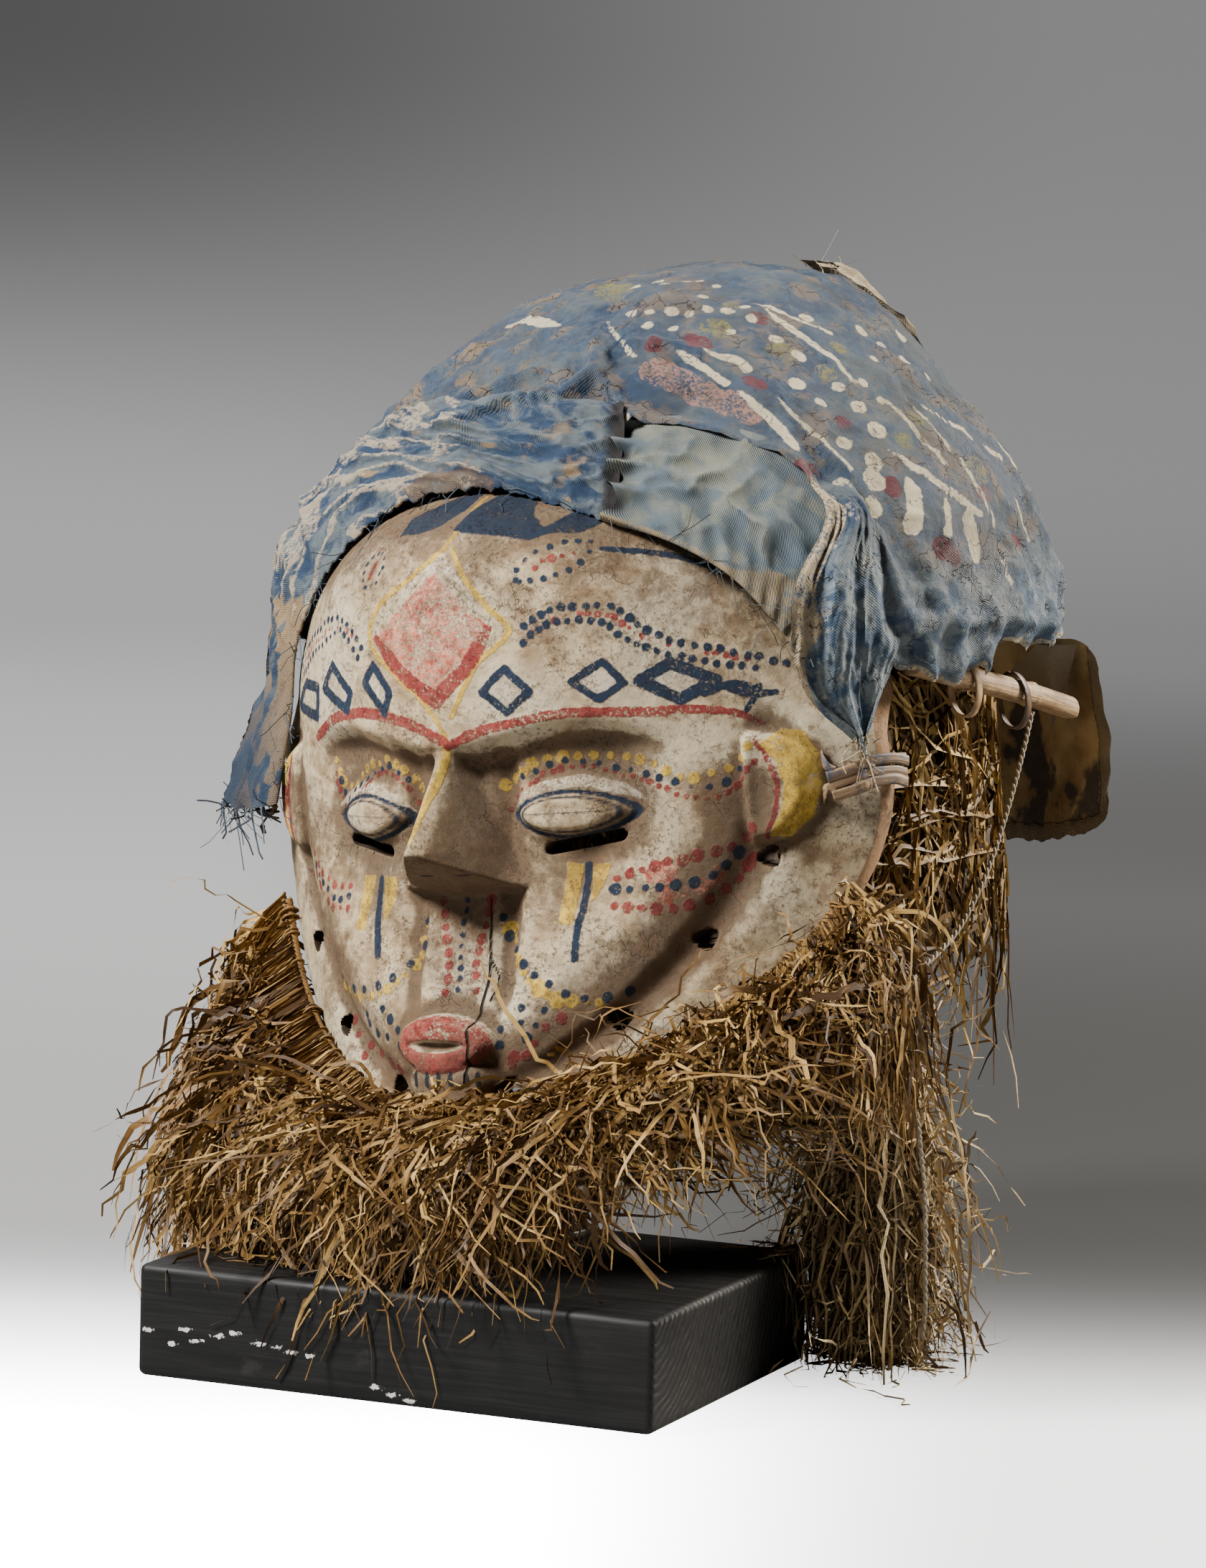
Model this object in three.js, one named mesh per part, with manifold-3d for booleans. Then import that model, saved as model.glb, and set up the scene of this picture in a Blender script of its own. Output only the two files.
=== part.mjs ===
// Initiation mask of carved and painted wood with a cloth coiffure and raffia, on its block.
// Millimetres, +Z up. The block's long front side looks to -Y; the mask is turned a little on it.
import * as THREE from 'three';
import { mergeVertices } from 'three/addons/utils/BufferGeometryUtils.js';
import Module from 'manifold-3d';

const wasm = await Module();
wasm.setup();

// Block: planed 38 x 140 softwood, cut to length, with its long edges eased
const BLOCK = { length: 186, depth: 140, height: 38, easing: 3 };

// Mask: its middle between the ears, over the block's front left corner
const MASK = { x: 100.8, y: 132, z: 191.3, turnDeg: -11.5, leanDeg: 6.3 };

// Wooden face: half width and reach of its rim from the ear line, and its section from above
const RIM = { halfWidth: 123, down: 101.5, up: 116, roundDown: 1.95, roundUp: 2.2 };
const SECTION = { front: -93, slope: 0.25, curve: 0.0038, ridgeSoft: 6 };
const WALL = { rim: 5.5, middle: 11, most: 34 };
const CHEEK = { halfWidth: 95, down: 97, roundness: 1.6, step: 5 };
const BROW = { middle: 22.4, rise: 8, peakAt: 45, fall: 5, drop: 11 };
const FOREHEAD = { back: 2, ridgeBack: 7, ridgeWidth: 30, crownZ: 104, crownX: 150, power: 8.4, fall: 36 };
const NOSE = { top: 22, tip: -13, tipOut: -12.8, bridgeHalf: 5, baseHalf: 24, underSlope: 29 / 15 };
const EYE = { x: 41, z: -3, halfLong: 20, halfHigh: 8, lidHigh: 13, proud: 5 };
const SLIT = { inner: 31, outer: 57, z: -12, height: 3.8, tiltDeg: 9 };
const MOUTH = { z: -77, halfWide: 19, halfHigh: 10, out: -1.5, chinZ: -90, chinHalf: 16 };
const EAR = { x: 93, z: 2, wide: 18, halfHigh: 20, proud: 7 };

// Coiffure: height, half width, half depth and middle of its level sections, from hem to crown
const CROWN = [
  [45, 131, 144, 53],
  [57, 131, 145, 54],
  [98, 121, 114, 63],
  [133.5, 93, 92, 68],
  [154, 71, 73, 76],
  [168, 49, 51, 86],
  [175.5, 0, 0, 98],
];
const CLOTH = 2.4;
const CROWN_LIFT = 1.2;
const HEM_Z = 46;
const SEAM_RISE = 67;
const NECK = { out: 17, from: 122, to: 238, top: 44, bottom: -31, corner: 11 };

// Raffia: how far the collar bulges past the rim, and where its ends hang
const BEARD = {
  fromDeg: -67, toDeg: 68, bulgeLeft: 58, bulgeRight: 34, thick: 22, headerOut: 9, low: -171, lowLeft: -146,
  lowRight: -117,
};
const CURTAIN = { halfWide: 108, halfDeep: 117, middle: 60, thick: 12, top: 36, bottom: -60, openDeg: 62 };
const TUFT = { footX: 212, footY: 154, halfWide: 26, halfDeep: 21, lift: 2.5, headX: 96, headY: 34, headZ: -64 };

const GAP = 0.4;
const rad = THREE.MathUtils.degToRad;
const clamp = THREE.MathUtils.clamp;
const mix = THREE.MathUtils.lerp;
const V = (x, y, z) => new THREE.Vector3(x, y, z);

function smooth(t) {
  const k = clamp(t, 0, 1);
  return k * k * (3 - 2 * k);
}

// Closed bodies from points and triangles, turned so that their faces point out
function body(points, triangles) {
  const geometry = new THREE.BufferGeometry();
  geometry.setAttribute('position', new THREE.Float32BufferAttribute(points.flatMap((p) => [p.x, p.y, p.z]), 3));
  let volume = 0;
  for (const [a, b, c] of triangles) {
    volume += points[a].dot(points[b].clone().cross(points[c]));
  }
  geometry.setIndex(triangles.flatMap(([a, b, c]) => (volume < 0 ? [a, c, b] : [a, b, c])));
  return geometry;
}

// A wall between an outer and an inner surface over the same u and v from 0 to 1, closed along its
// edges. A ring closes in u, a pole closes at v = 1, and the inner surface may have half the facets.
function wall(outer, inner, nu, nv, { ring = false, pole = false, innerStep = 1 } = {}) {
  const points = [];
  const triangles = [];
  const layer = (surface, step) => {
    const cols = nu / step;
    const rows = nv / step;
    const index = [];
    for (let j = 0; j <= rows; j += 1) {
      const row = [];
      const lastPole = pole && j === rows;
      for (let i = 0; i < (ring ? cols : cols + 1); i += 1) {
        if (lastPole && i > 0) {
          row.push(row[0]);
        } else {
          row.push(points.length);
          points.push(surface(i / cols, j / rows));
        }
      }
      index.push(row);
    }
    return (i, j) => index[j][ring ? i % cols : i];
  };
  const face = (a, b, c) => {
    if (a !== b && b !== c && a !== c) triangles.push([a, b, c]);
  };
  const out = layer(outer, 1);
  const back = layer(inner, innerStep);
  for (let j = 0; j < nv; j += 1) {
    for (let i = 0; i < nu; i += 1) {
      face(out(i, j), out(i + 1, j), out(i + 1, j + 1));
      face(out(i, j), out(i + 1, j + 1), out(i, j + 1));
    }
  }
  for (let j = 0; j < nv / innerStep; j += 1) {
    for (let i = 0; i < nu / innerStep; i += 1) {
      face(back(i, j), back(i + 1, j + 1), back(i + 1, j));
      face(back(i, j), back(i, j + 1), back(i + 1, j + 1));
    }
  }
  const edge = (count, outAt, backAt) => {
    for (let k = 0; k < count / innerStep; k += 1) {
      const p = backAt(k);
      const q = backAt(k + 1);
      if (innerStep === 1) {
        face(outAt(k + 1), outAt(k), p);
        face(outAt(k + 1), p, q);
      } else {
        face(outAt(2 * k + 1), outAt(2 * k), p);
        face(outAt(2 * k + 1), p, q);
        face(outAt(2 * k + 2), outAt(2 * k + 1), q);
      }
    }
  };
  edge(nu, (k) => out(k, 0), (k) => back(k, 0));
  if (!pole) edge(nu, (k) => out(nu - k, nv), (k) => back(nu / innerStep - k, nv / innerStep));
  if (!ring) {
    edge(nv, (k) => out(nu, k), (k) => back(nu / innerStep, k));
    edge(nv, (k) => out(0, nv - k), (k) => back(0, nv / innerStep - k));
  }
  return body(points, triangles);
}

// A solid through rings of points, closed flat at both ends, or run round into itself
function loft(rings, { loop = false } = {}) {
  const count = rings[0].length;
  const points = rings.flat();
  const triangles = [];
  const steps = loop ? rings.length : rings.length - 1;
  for (let j = 0; j < steps; j += 1) {
    const a = j * count;
    const b = ((j + 1) % rings.length) * count;
    for (let i = 0; i < count; i += 1) {
      const k = (i + 1) % count;
      triangles.push([a + i, a + k, b + k], [a + i, b + k, b + i]);
    }
  }
  if (!loop) {
    for (const [ring, flip] of [[0, true], [rings.length - 1, false]]) {
      const centre = points.length;
      const middle = V(0, 0, 0);
      rings[ring].forEach((p) => middle.addScaledVector(p, 1 / count));
      points.push(middle);
      for (let i = 0; i < count; i += 1) {
        const a = ring * count + i;
        const b = ring * count + ((i + 1) % count);
        triangles.push(flip ? [centre, b, a] : [centre, a, b]);
      }
    }
  }
  return body(points, triangles);
}

// A round or flat bar along a curve; the section is level across and upright
function bar(curve, halfWide, halfHigh, sides, steps, { loop = false, round = true } = {}) {
  const rings = [];
  for (let j = 0; j < (loop ? steps : steps + 1); j += 1) {
    const at = curve.getPointAt(j / steps);
    const along = curve.getTangentAt(j / steps);
    const up = Math.abs(along.z) > 0.9 ? V(0, -1, 0) : V(0, 0, 1);
    const across = along.clone().cross(up).normalize();
    const rise = across.clone().cross(along).normalize();
    const ring = [];
    for (let i = 0; i < sides; i += 1) {
      const turn = ((i + 0.5) / sides) * 2 * Math.PI;
      const reach = round ? 1 : Math.SQRT2;
      const x = Math.cos(turn) * reach * halfWide;
      const z = Math.sin(turn) * reach * halfHigh;
      ring.push(at.clone().addScaledVector(across, x).addScaledVector(rise, z));
    }
    rings.push(ring);
  }
  return loft(rings, { loop });
}

// Booleans between closed geometries
function toManifold(geometry) {
  const bare = geometry.clone();
  bare.deleteAttribute('normal');
  bare.deleteAttribute('uv');
  const merged = mergeVertices(bare, 1e-4);
  return new wasm.Manifold(
    new wasm.Mesh({
      numProp: 3,
      vertProperties: new Float32Array(merged.attributes.position.array),
      triVerts: new Uint32Array(merged.index.array),
    }),
  );
}

function fromManifold(solid) {
  const mesh = solid.getMesh();
  const geometry = new THREE.BufferGeometry();
  geometry.setAttribute('position', new THREE.BufferAttribute(new Float32Array(mesh.vertProperties), 3));
  geometry.setIndex(new THREE.BufferAttribute(new Uint32Array(mesh.triVerts), 1));
  return geometry;
}

const cut = (geometry, ...tools) =>
  fromManifold(tools.reduce((solid, tool) => solid.subtract(toManifold(tool)), toManifold(geometry)));
const join = (geometry, ...others) =>
  fromManifold(others.reduce((solid, other) => solid.add(toManifold(other)), toManifold(geometry)));

// Where a point of the mask's own frame lies over the block, and the other way round
const maskPose = new THREE.Matrix4()
  .makeTranslation(MASK.x, MASK.y, MASK.z)
  .multiply(
    new THREE.Matrix4().makeRotationFromEuler(new THREE.Euler(0, -rad(MASK.leanDeg), rad(MASK.turnDeg), 'ZYX')),
  );
const overBlock = (x, y, z) => V(x, y, z).applyMatrix4(maskPose);
const intoMask = (geometry) => geometry.applyMatrix4(maskPose.clone().invert());

// The rim's half width at a height, and the prow-like section that the face and its flange share
function rimHalf(z) {
  const [reach, power] = z < 0 ? [RIM.down, RIM.roundDown] : [RIM.up, RIM.roundUp];
  return RIM.halfWidth * (1 - Math.min(1, Math.abs(z) / reach) ** power) ** (1 / power);
}

function sectionY(x) {
  const soft = Math.hypot(x, SECTION.ridgeSoft) - SECTION.ridgeSoft;
  return SECTION.front + SECTION.slope * soft + SECTION.curve * x * x;
}

// Depths behind that section: forehead, the hollow of the lower face, the cheeks' edge
const browZ = (x) => {
  const t = Math.abs(x) / BROW.peakAt;
  return BROW.middle + BROW.rise * smooth(t) - BROW.fall * smooth((t - 1) / 1.1);
};

function foreheadDepth(x, z) {
  const far = Math.hypot(z / FOREHEAD.crownZ, x / FOREHEAD.crownX);
  const ridge = FOREHEAD.ridgeBack * Math.exp(-((x / FOREHEAD.ridgeWidth) ** 2));
  return FOREHEAD.back + ridge + FOREHEAD.fall * far ** FOREHEAD.power;
}

function cheekEdge(x, z) {
  const low = z < 0 ? Math.abs(z) / CHEEK.down : 0;
  return (Math.abs(x / CHEEK.halfWidth) ** CHEEK.roundness + low ** CHEEK.roundness) ** (1 / CHEEK.roundness);
}

function faceDepth(x, z) {
  const side = mix(7, 12, smooth((z + 60) / 45)) * (1 - smooth((cheekEdge(x, z) - 0.5) / 0.42));
  const middle = mix(5, 9, smooth((z + 65) / 35)) * Math.exp(-((x / 21) ** 2));
  const lip = mix(0, 3, smooth((x * x - 150) / 200)) * smooth((z + 72) / 12);
  return side + middle + lip * (1 - smooth((Math.abs(x) - 18) / 8)) - 2 * (1 - smooth((cheekEdge(x, z) - 0.8) / 0.2));
}

// The carved shape without nose, eyes, mouth and ears
function plainDepth(x, z) {
  const under = smooth((browZ(x) - z) / BROW.drop);
  const edge = cheekEdge(x, z);
  const fade = 1 - smooth((z - 14) / 24);
  const inFace = mix(foreheadDepth(x, z), faceDepth(x, z) + 2, under);
  const flange = mix(CHEEK.step, 0.5, smooth((edge - 1) / 0.14));
  const outside = mix(foreheadDepth(x, z), flange, fade);
  return mix(inFace, outside, smooth((edge - 0.94) / 0.07));
}

function carvedDepth(x, z) {
  let depth = plainDepth(x, z);
  const eyeX = (Math.abs(x) - EYE.x) / EYE.halfLong;
  const lid = 1 - Math.hypot(eyeX * 0.9, (z - EYE.z - 2) / EYE.lidHigh);
  const almond = 1 - Math.hypot(eyeX, (z - EYE.z) / EYE.halfHigh);
  depth -= EYE.proud * smooth(lid * 1.6) + 1.6 * smooth(almond * 3);
  const down = (NOSE.top - z) / (NOSE.top - NOSE.tip);
  const half = NOSE.bridgeHalf + (NOSE.baseHalf - NOSE.bridgeHalf) * Math.max(0, down / 1.3) ** 1.3;
  if (down > -0.15 && Math.abs(x) < half) {
    const ridge = mix(12, NOSE.tipOut, Math.min(1, Math.max(0, down)));
    const flank = ridge + (depth - ridge) * Math.abs(x / half) ** 1.4;
    const under = NOSE.tipOut + (NOSE.tip - z) * NOSE.underSlope;
    depth = Math.min(depth, Math.max(flank, under));
  }
  const muzzle = Math.hypot(x / MOUTH.halfWide, (z - MOUTH.z) / MOUTH.halfHigh);
  const chin = Math.hypot(x / MOUTH.chinHalf, (z - MOUTH.chinZ) / 9);
  depth = mix(depth, MOUTH.out - 1, 1 - smooth((Math.min(muzzle, chin) - 0.8) / 0.4));
  const gape = Math.hypot(x / 12, (z - MOUTH.z - 1) / 3);
  depth += 2.5 * (1 - smooth(gape - 0.4));
  const ear = Math.hypot((Math.abs(x) - EAR.x) / EAR.wide, (z - EAR.z) / EAR.halfHigh);
  if (Math.abs(x) > EAR.x - 3) {
    depth -= EAR.proud * (1 - smooth((ear - 0.75) / 0.3)) * smooth((Math.abs(x) - EAR.x + 3) / 4);
  }
  return depth;
}

const faceY = (x, z) => sectionY(x) + carvedDepth(x, z);

function faceBackY(x, z) {
  const base = (a, b) => sectionY(a) + plainDepth(a, b);
  const dx = (base(x + 2, z) - base(x - 2, z)) / 4;
  const dz = (base(x, z + 2) - base(x, z - 2)) / 4;
  const inside = Math.min(1 - Math.abs(x) / (rimHalf(z) + 1), (z + RIM.down) / 60, (RIM.up - z) / 60);
  const thick = mix(WALL.rim, WALL.middle, smooth(inside * 3.5));
  return base(x, z) + Math.min(WALL.most, thick * Math.hypot(1, dx, dz));
}

function woodenFace() {
  const low = -RIM.down + 0.7;
  const high = RIM.up - 0.8;
  const shape = (depthY) => (u, v) => {
    const z = v < 0.62 ? mix(low, 30, v / 0.62) : mix(30, high, (v - 0.62) / 0.38);
    const s = 2 * u - 1;
    const x = rimHalf(z) * s * (0.78 + 0.22 * s * s);
    return V(x, depthY(x, z), z);
  };
  const shell = wall(shape(faceY), shape(faceBackY), 34, 40, { innerStep: 2 });
  const slits = [-1, 1].map((side) => {
    const slot = new THREE.BoxGeometry(SLIT.outer - SLIT.inner, 120, SLIT.height);
    slot.rotateY(-side * rad(SLIT.tiltDeg));
    return slot.translate((side * (SLIT.inner + SLIT.outer)) / 2, -50, SLIT.z);
  });
  return cut(shell, ...slits);
}

// The coiffure's level section at a height: half width, half depth and middle
const crownCurves = [1, 2, 3].map(
  (k) => new THREE.CatmullRomCurve3(CROWN.map((ring) => V(ring[0], ring[k], 0)), false, 'centripetal'),
);

function crownSection(t) {
  const [a, b, y] = crownCurves.map((curve) => curve.getPoint(t));
  return { z: a.x, wide: Math.max(a.y, 0), deep: Math.max(b.y, 0), middle: y.y };
}

function crownShare(z) {
  let low = 0;
  let high = 1;
  for (let k = 0; k < 24; k += 1) {
    const t = (low + high) / 2;
    if (crownSection(t).z < z) low = t;
    else high = t;
  }
  return (low + high) / 2;
}

// A point on the coiffure, by angle from the front towards +X, share of height, and lift off it
function onCrown(turn, t, lift) {
  const s = crownSection(t);
  const around = (shift, q) => V(q.wide * Math.sin(turn + shift), q.middle - q.deep * Math.cos(turn + shift), q.z);
  const at = around(0, s);
  if (s.wide < 1) return at.add(V(0, 0, lift));
  const level = around(0.01, s).sub(around(-0.01, s));
  const slope = around(0, crownSection(Math.min(1, t + 0.01))).sub(around(0, crownSection(Math.max(0, t - 0.01))));
  return at.addScaledVector(level.cross(slope).normalize(), lift);
}

function capCloth() {
  const hem = (turn) => {
    const degrees = Math.abs(THREE.MathUtils.radToDeg(turn > Math.PI ? turn - 2 * Math.PI : turn));
    return HEM_Z + SEAM_RISE * smooth((95 - degrees) / 70);
  };
  const surface = (lift) => (u, v) => {
    const turn = u * 2 * Math.PI;
    return onCrown(turn, mix(crownShare(hem(turn)), 1, v), lift);
  };
  return wall(surface(CROWN_LIFT + CLOTH), surface(CROWN_LIFT), 36, 8, { ring: true, pole: true });
}

// A cloth band between two edges, each a curve through a few points, thickened outwards
function band(lowEdge, highEdge, thick, nu, nv, { bulge = 0 } = {}) {
  const low = new THREE.CatmullRomCurve3(lowEdge.map((p) => V(...p)));
  const high = new THREE.CatmullRomCurve3(highEdge.map((p) => V(...p)));
  const centre = V(0, CROWN[0][3], 40);
  const surface = (share) => (u, v) => {
    const at = low.getPoint(u).lerp(high.getPoint(u), v);
    const out = at.clone().sub(centre).normalize();
    return at.addScaledVector(out, share * thick(u) + bulge * Math.sin(Math.PI * v));
  };
  return wall(surface(1), surface(0), nu, nv);
}

// A point of a band's upper edge, just over the crown cloth's hem
const overHem = (degrees, z) => onCrown(rad(degrees), crownShare(z), CROWN_LIFT + CLOTH + 2 * GAP).toArray();

const browCloth = () =>
  band(
    [[-112, -40, 0], [-106, -36, 30], [-96, -33, 58], [-74, -41, 84], [-41, -48, 99], [0, -51, 106],
      [30, -51, 99], [53, -49, 91]],
    [[-128, -18, 3], [-123, -10, 40], [-113, -14, 70], overHem(-45, 97), overHem(-27, 115), overHem(-10, 118),
      overHem(12, 117), overHem(25, 114)],
    (u) => mix(11, CLOTH, smooth(u / 0.2)), 20, 3, { bulge: 1 },
  );

const templeCloth = () =>
  band(
    [[56, -46, 91], [73.5, -44, 83], [92, -40, 71], [104, -33, 54], [110, -27, 40]],
    [overHem(26.5, 113.5), overHem(36, 109), overHem(46, 98), [103, -15, 82], [108, -12, 63]],
    () => CLOTH, 12, 3, { bulge: 1 },
  );

const templeDrape = () =>
  band(
    [[113, -27, 68], [113.5, -27, 50], [116, -23, 32], [122, -8, 13]],
    [[126.5, 8, 76], [130, 16, 56], [129, 14, 38], [125, 2, 13]],
    () => CLOTH + 1, 10, 4, { bulge: 4 },
  );

// The hemmed cloth round the back, with rounded lower corners
function neckCloth() {
  const base = CROWN[0];
  const surface = (lift) => (u, v) => {
    const turn = rad(mix(NECK.from, NECK.to, u));
    const nearEnd = Math.min(u, 1 - u) * 2.4;
    const drop = NECK.corner * (1 - Math.sqrt(1 - (1 - clamp(nearEnd * 9, 0, 1)) ** 2));
    const z = mix(NECK.bottom + drop, NECK.top - drop * 0.6, v);
    const x = (base[1] + NECK.out + lift) * Math.sin(turn);
    const y = base[3] - (base[2] + NECK.out + lift) * Math.cos(turn);
    return V(x, y, z);
  };
  return wall(surface(CLOTH), surface(0), 22, 3);
}

function crownPatch() {
  const surface = (lift) => (u, v) => {
    const turn = rad(mix(128, 172, u));
    const z = mix(136, 164, v) + 4 * Math.sin(u * Math.PI);
    return onCrown(turn, crownShare(z), CROWN_LIFT + CLOTH + GAP + lift + 7 * v * Math.sin(u * Math.PI));
  };
  return wall(surface(1.5), surface(0), 8, 3);
}

// Cane: the hoop inside the hem, the split length over the raffia, its straps and the lashings
function caneHoop() {
  const base = CROWN[0];
  const ring = [];
  for (let k = 0; k < 40; k += 1) {
    const turn = rad(mix(71, 289, k / 39));
    ring.push(V((base[1] - 6) * Math.sin(turn), base[3] - (base[2] - 6) * Math.cos(turn), HEM_Z + 2));
  }
  return bar(new THREE.CatmullRomCurve3(ring), 3, 3, 6, 22);
}

const CANE_PATH = [[119.5, 24, 38], [116.5, 66, 30], [112, 108, 22.5], [105, 152, 14]];
const caneCurve = new THREE.CatmullRomCurve3(CANE_PATH.map((p) => V(...p)));
const splitCane = () => bar(caneCurve, 2.2, 3.2, 10, 12);

function caneStrap(share) {
  const at = caneCurve.getPointAt(share);
  const along = caneCurve.getTangentAt(share);
  const across = along.clone().cross(V(0, 0, 1)).normalize();
  const ring = [];
  for (let k = 0; k < 14; k += 1) {
    const turn = (k / 14) * 2 * Math.PI;
    const hang = -1.5 - 3.4 * (1 - Math.cos(turn)) * 0.5;
    const p = at.clone().addScaledVector(across, 4.2 * Math.sin(turn));
    ring.push(p.add(V(0, 0, 6.4 * Math.cos(turn) + hang)));
  }
  const rings = ring.map((p, k) => {
    const inward = at.clone().add(V(0, 0, -3)).sub(p).normalize();
    const offset = (a, b) => p.clone().addScaledVector(along, a).addScaledVector(inward, -b);
    return [offset(-2.4, 0), offset(2.4, 0), offset(2.4, 0.9), offset(-2.4, 0.9)];
  });
  return loft(rings, { loop: true });
}

// The lashing lies over the flange behind the ear and turns round the rim's edge
function rimLashing() {
  const path = [];
  for (let k = 0; k <= 8; k += 1) {
    const x = mix(106, 123, k / 8);
    path.push(V(x, faceY(Math.min(x, 121.5), 6) - 5.5, mix(2, 5.5, k / 8)));
  }
  path.push(V(127.2, -1, 5.5), V(127.5, 6, 4));
  return bar(new THREE.CatmullRomCurve3(path), 1.8, 5.5, 8, 12);
}

const sideKnot = () =>
  bar(new THREE.CatmullRomCurve3([V(-128, -14, 4), V(-126, -13, -1), V(-127, -11, -7)]), 4, 4.5, 8, 4);

// Raffia collar along the rim: a header over the flange's edge, then a thick skirt
function raffiaBeard() {
  const rings = [];
  const steps = 36;
  for (let k = 0; k <= steps; k += 1) {
    const turn = rad(mix(BEARD.fromDeg, BEARD.toDeg, k / steps));
    const z = -(RIM.down - 2) * Math.cos(turn) ** (2 / RIM.roundDown);
    const x = rimHalf(z) * Math.sign(turn);
    const wide = Math.abs(Math.sin(turn)) > 0.02 ? x : 0;
    const y = sectionY(wide);
    const out = V(wide * 0.9, y - 25, 0).normalize();
    const share = k / steps;
    const rise = (BEARD.lowRight - BEARD.low) * smooth((wide - 42) / 52);
    const low = BEARD.low + rise + (BEARD.lowLeft - BEARD.low) * smooth((-wide - 92) / 22);
    const bulge = mix(BEARD.bulgeLeft, BEARD.bulgeRight, smooth(share * 1.15)) * (1 - 0.4 * smooth(1 - share * 5));
    const at = (reach, height) => V(wide, y, 0).addScaledVector(out, reach).setZ(height);
    rings.push([
      at(4.5, z + 6), at(BEARD.headerOut, z + 7), at(BEARD.headerOut + 8, z),
      at(mix(BEARD.headerOut, bulge, 0.62), mix(z, low, 0.22)), at(bulge * 0.85, mix(z, low, 0.5)),
      at(bulge * 0.97, mix(z, low, 0.8)), at(bulge, low),
      at(bulge - BEARD.thick, low + 4), at(bulge * 0.85 - BEARD.thick, mix(z, low, 0.5)),
      at(1.5, mix(z, low, 0.12)),
    ]);
  }
  const block = new THREE.BoxGeometry(BLOCK.length + 3, BLOCK.depth + 3, BLOCK.height + 3);
  block.translate(BLOCK.length / 2, BLOCK.depth / 2, BLOCK.height / 2);
  return cut(loft(rings), intoMask(block));
}

function raffiaCurtain() {
  const surface = (lift) => (u, v) => {
    const turn = rad(mix(CURTAIN.openDeg, 360 - CURTAIN.openDeg, u));
    const bulge = lift * (0.55 + 0.45 * Math.sin(Math.PI * (1 - v)));
    const x = (CURTAIN.halfWide + bulge) * Math.sin(turn);
    const y = CURTAIN.middle - (CURTAIN.halfDeep + bulge) * Math.cos(turn);
    return V(x, y, mix(CURTAIN.bottom, CURTAIN.top, v));
  };
  return wall(surface(0), surface(-CURTAIN.thick), 28, 3);
}

// The long bundle that hangs from the collar's right end down to the surface beside the block
function raffiaTuft() {
  const foot = V(TUFT.footX, TUFT.footY, TUFT.lift);
  const head = overBlock(TUFT.headX, TUFT.headY, TUFT.headZ);
  const rings = [[0, 0.85], [0.12, 1], [0.4, 1], [0.65, 0.8], [0.85, 0.62], [1, 0.5]].map(([share, wide]) => {
    const ring = [];
    for (let i = 0; i < 12; i += 1) {
      const turn = (i / 12) * 2 * Math.PI;
      const at = foot.clone().lerp(head, share);
      ring.push(at.add(V(wide * TUFT.halfWide * Math.cos(turn), wide * TUFT.halfDeep * Math.sin(turn), 0)));
    }
    return ring;
  });
  return loft(rings);
}

// Twisted cord: tied to the split cane, over the curtain, then down outside the tuft
const CORD = { radius: 1, sides: 8, steps: 40 };
const CORD_PATH = [
  [110.5, 117, 15.5], [111.5, 108, 3], [112.5, 93, -17], [113, 76, -37], [112, 58, -54], [112, 41, -62],
  [113, 26, -67], [115, 18, -76], [117, 13, -88], [118, 12, -102], [120, 11, -118], [120, 12, -134],
  [118, 15, -149], [115, 18, -165], [112, 21, -180], [109, 23, -190],
];
const twistedCord = () =>
  bar(new THREE.CatmullRomCurve3(CORD_PATH.map((p) => V(...p))), CORD.radius, CORD.radius, CORD.sides, CORD.steps);

// Block with eased long edges, and the steel post with its foot and cradle bar
function standBlock() {
  const { length, depth, height, easing } = BLOCK;
  const end = new THREE.Shape();
  end.absarc(depth - easing, easing, easing, -Math.PI / 2, 0, false);
  end.absarc(depth - easing, height - easing, easing, 0, Math.PI / 2, false);
  end.absarc(easing, height - easing, easing, Math.PI / 2, Math.PI, false);
  end.absarc(easing, easing, easing, Math.PI, 1.5 * Math.PI, false);
  const timber = new THREE.ExtrudeGeometry(end, { depth: length, bevelEnabled: false, curveSegments: 4 });
  timber.applyMatrix4(new THREE.Matrix4().makeBasis(V(0, 1, 0), V(0, 0, 1), V(1, 0, 0)));
  return timber;
}

const POST = { radius: 4, footRadius: 19, footHeight: 3, headX: 0, headY: -14, headZ: 50 };

function standCradle() {
  const head = overBlock(POST.headX, POST.headY, POST.headZ);
  const ground = BLOCK.height + GAP;
  const straight = (a, b) => new THREE.LineCurve3(a, b);
  const post = bar(straight(V(head.x, head.y, ground), head), POST.radius, POST.radius, 12, 1);
  const foot = bar(
    straight(V(head.x, head.y, ground), V(head.x, head.y, ground + POST.footHeight)),
    POST.footRadius, POST.footRadius, 20, 1,
  );
  const reach = [];
  for (let k = -3; k <= 3; k += 1) {
    const x = (k / 3) * 44;
    const inner = faceBackY(x, POST.headZ) + 5;
    reach.push(overBlock(x, mix(POST.headY, inner, Math.min(1, (k / 2.6) ** 2)), POST.headZ));
  }
  const cradle = bar(new THREE.CatmullRomCurve3(reach), 2.6, 2.6, 8, 10);
  return join(post, foot, cradle);
}

// Finishes as seen: colour, roughness, metalness
const FINISH = {
  block: [0x17171a, 0.6, 0], steel: [0x1c1c1e, 0.45, 0.9], wood: [0xb9ab95, 0.85, 0], blue: [0x4f6c86, 0.9, 0],
  twill: [0x7f8a88, 0.9, 0], tan: [0xa88f68, 0.9, 0], cane: [0xb08d62, 0.6, 0], raffia: [0xb08a4c, 0.8, 0],
  cord: [0xb9ab8e, 0.85, 0],
};

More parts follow.
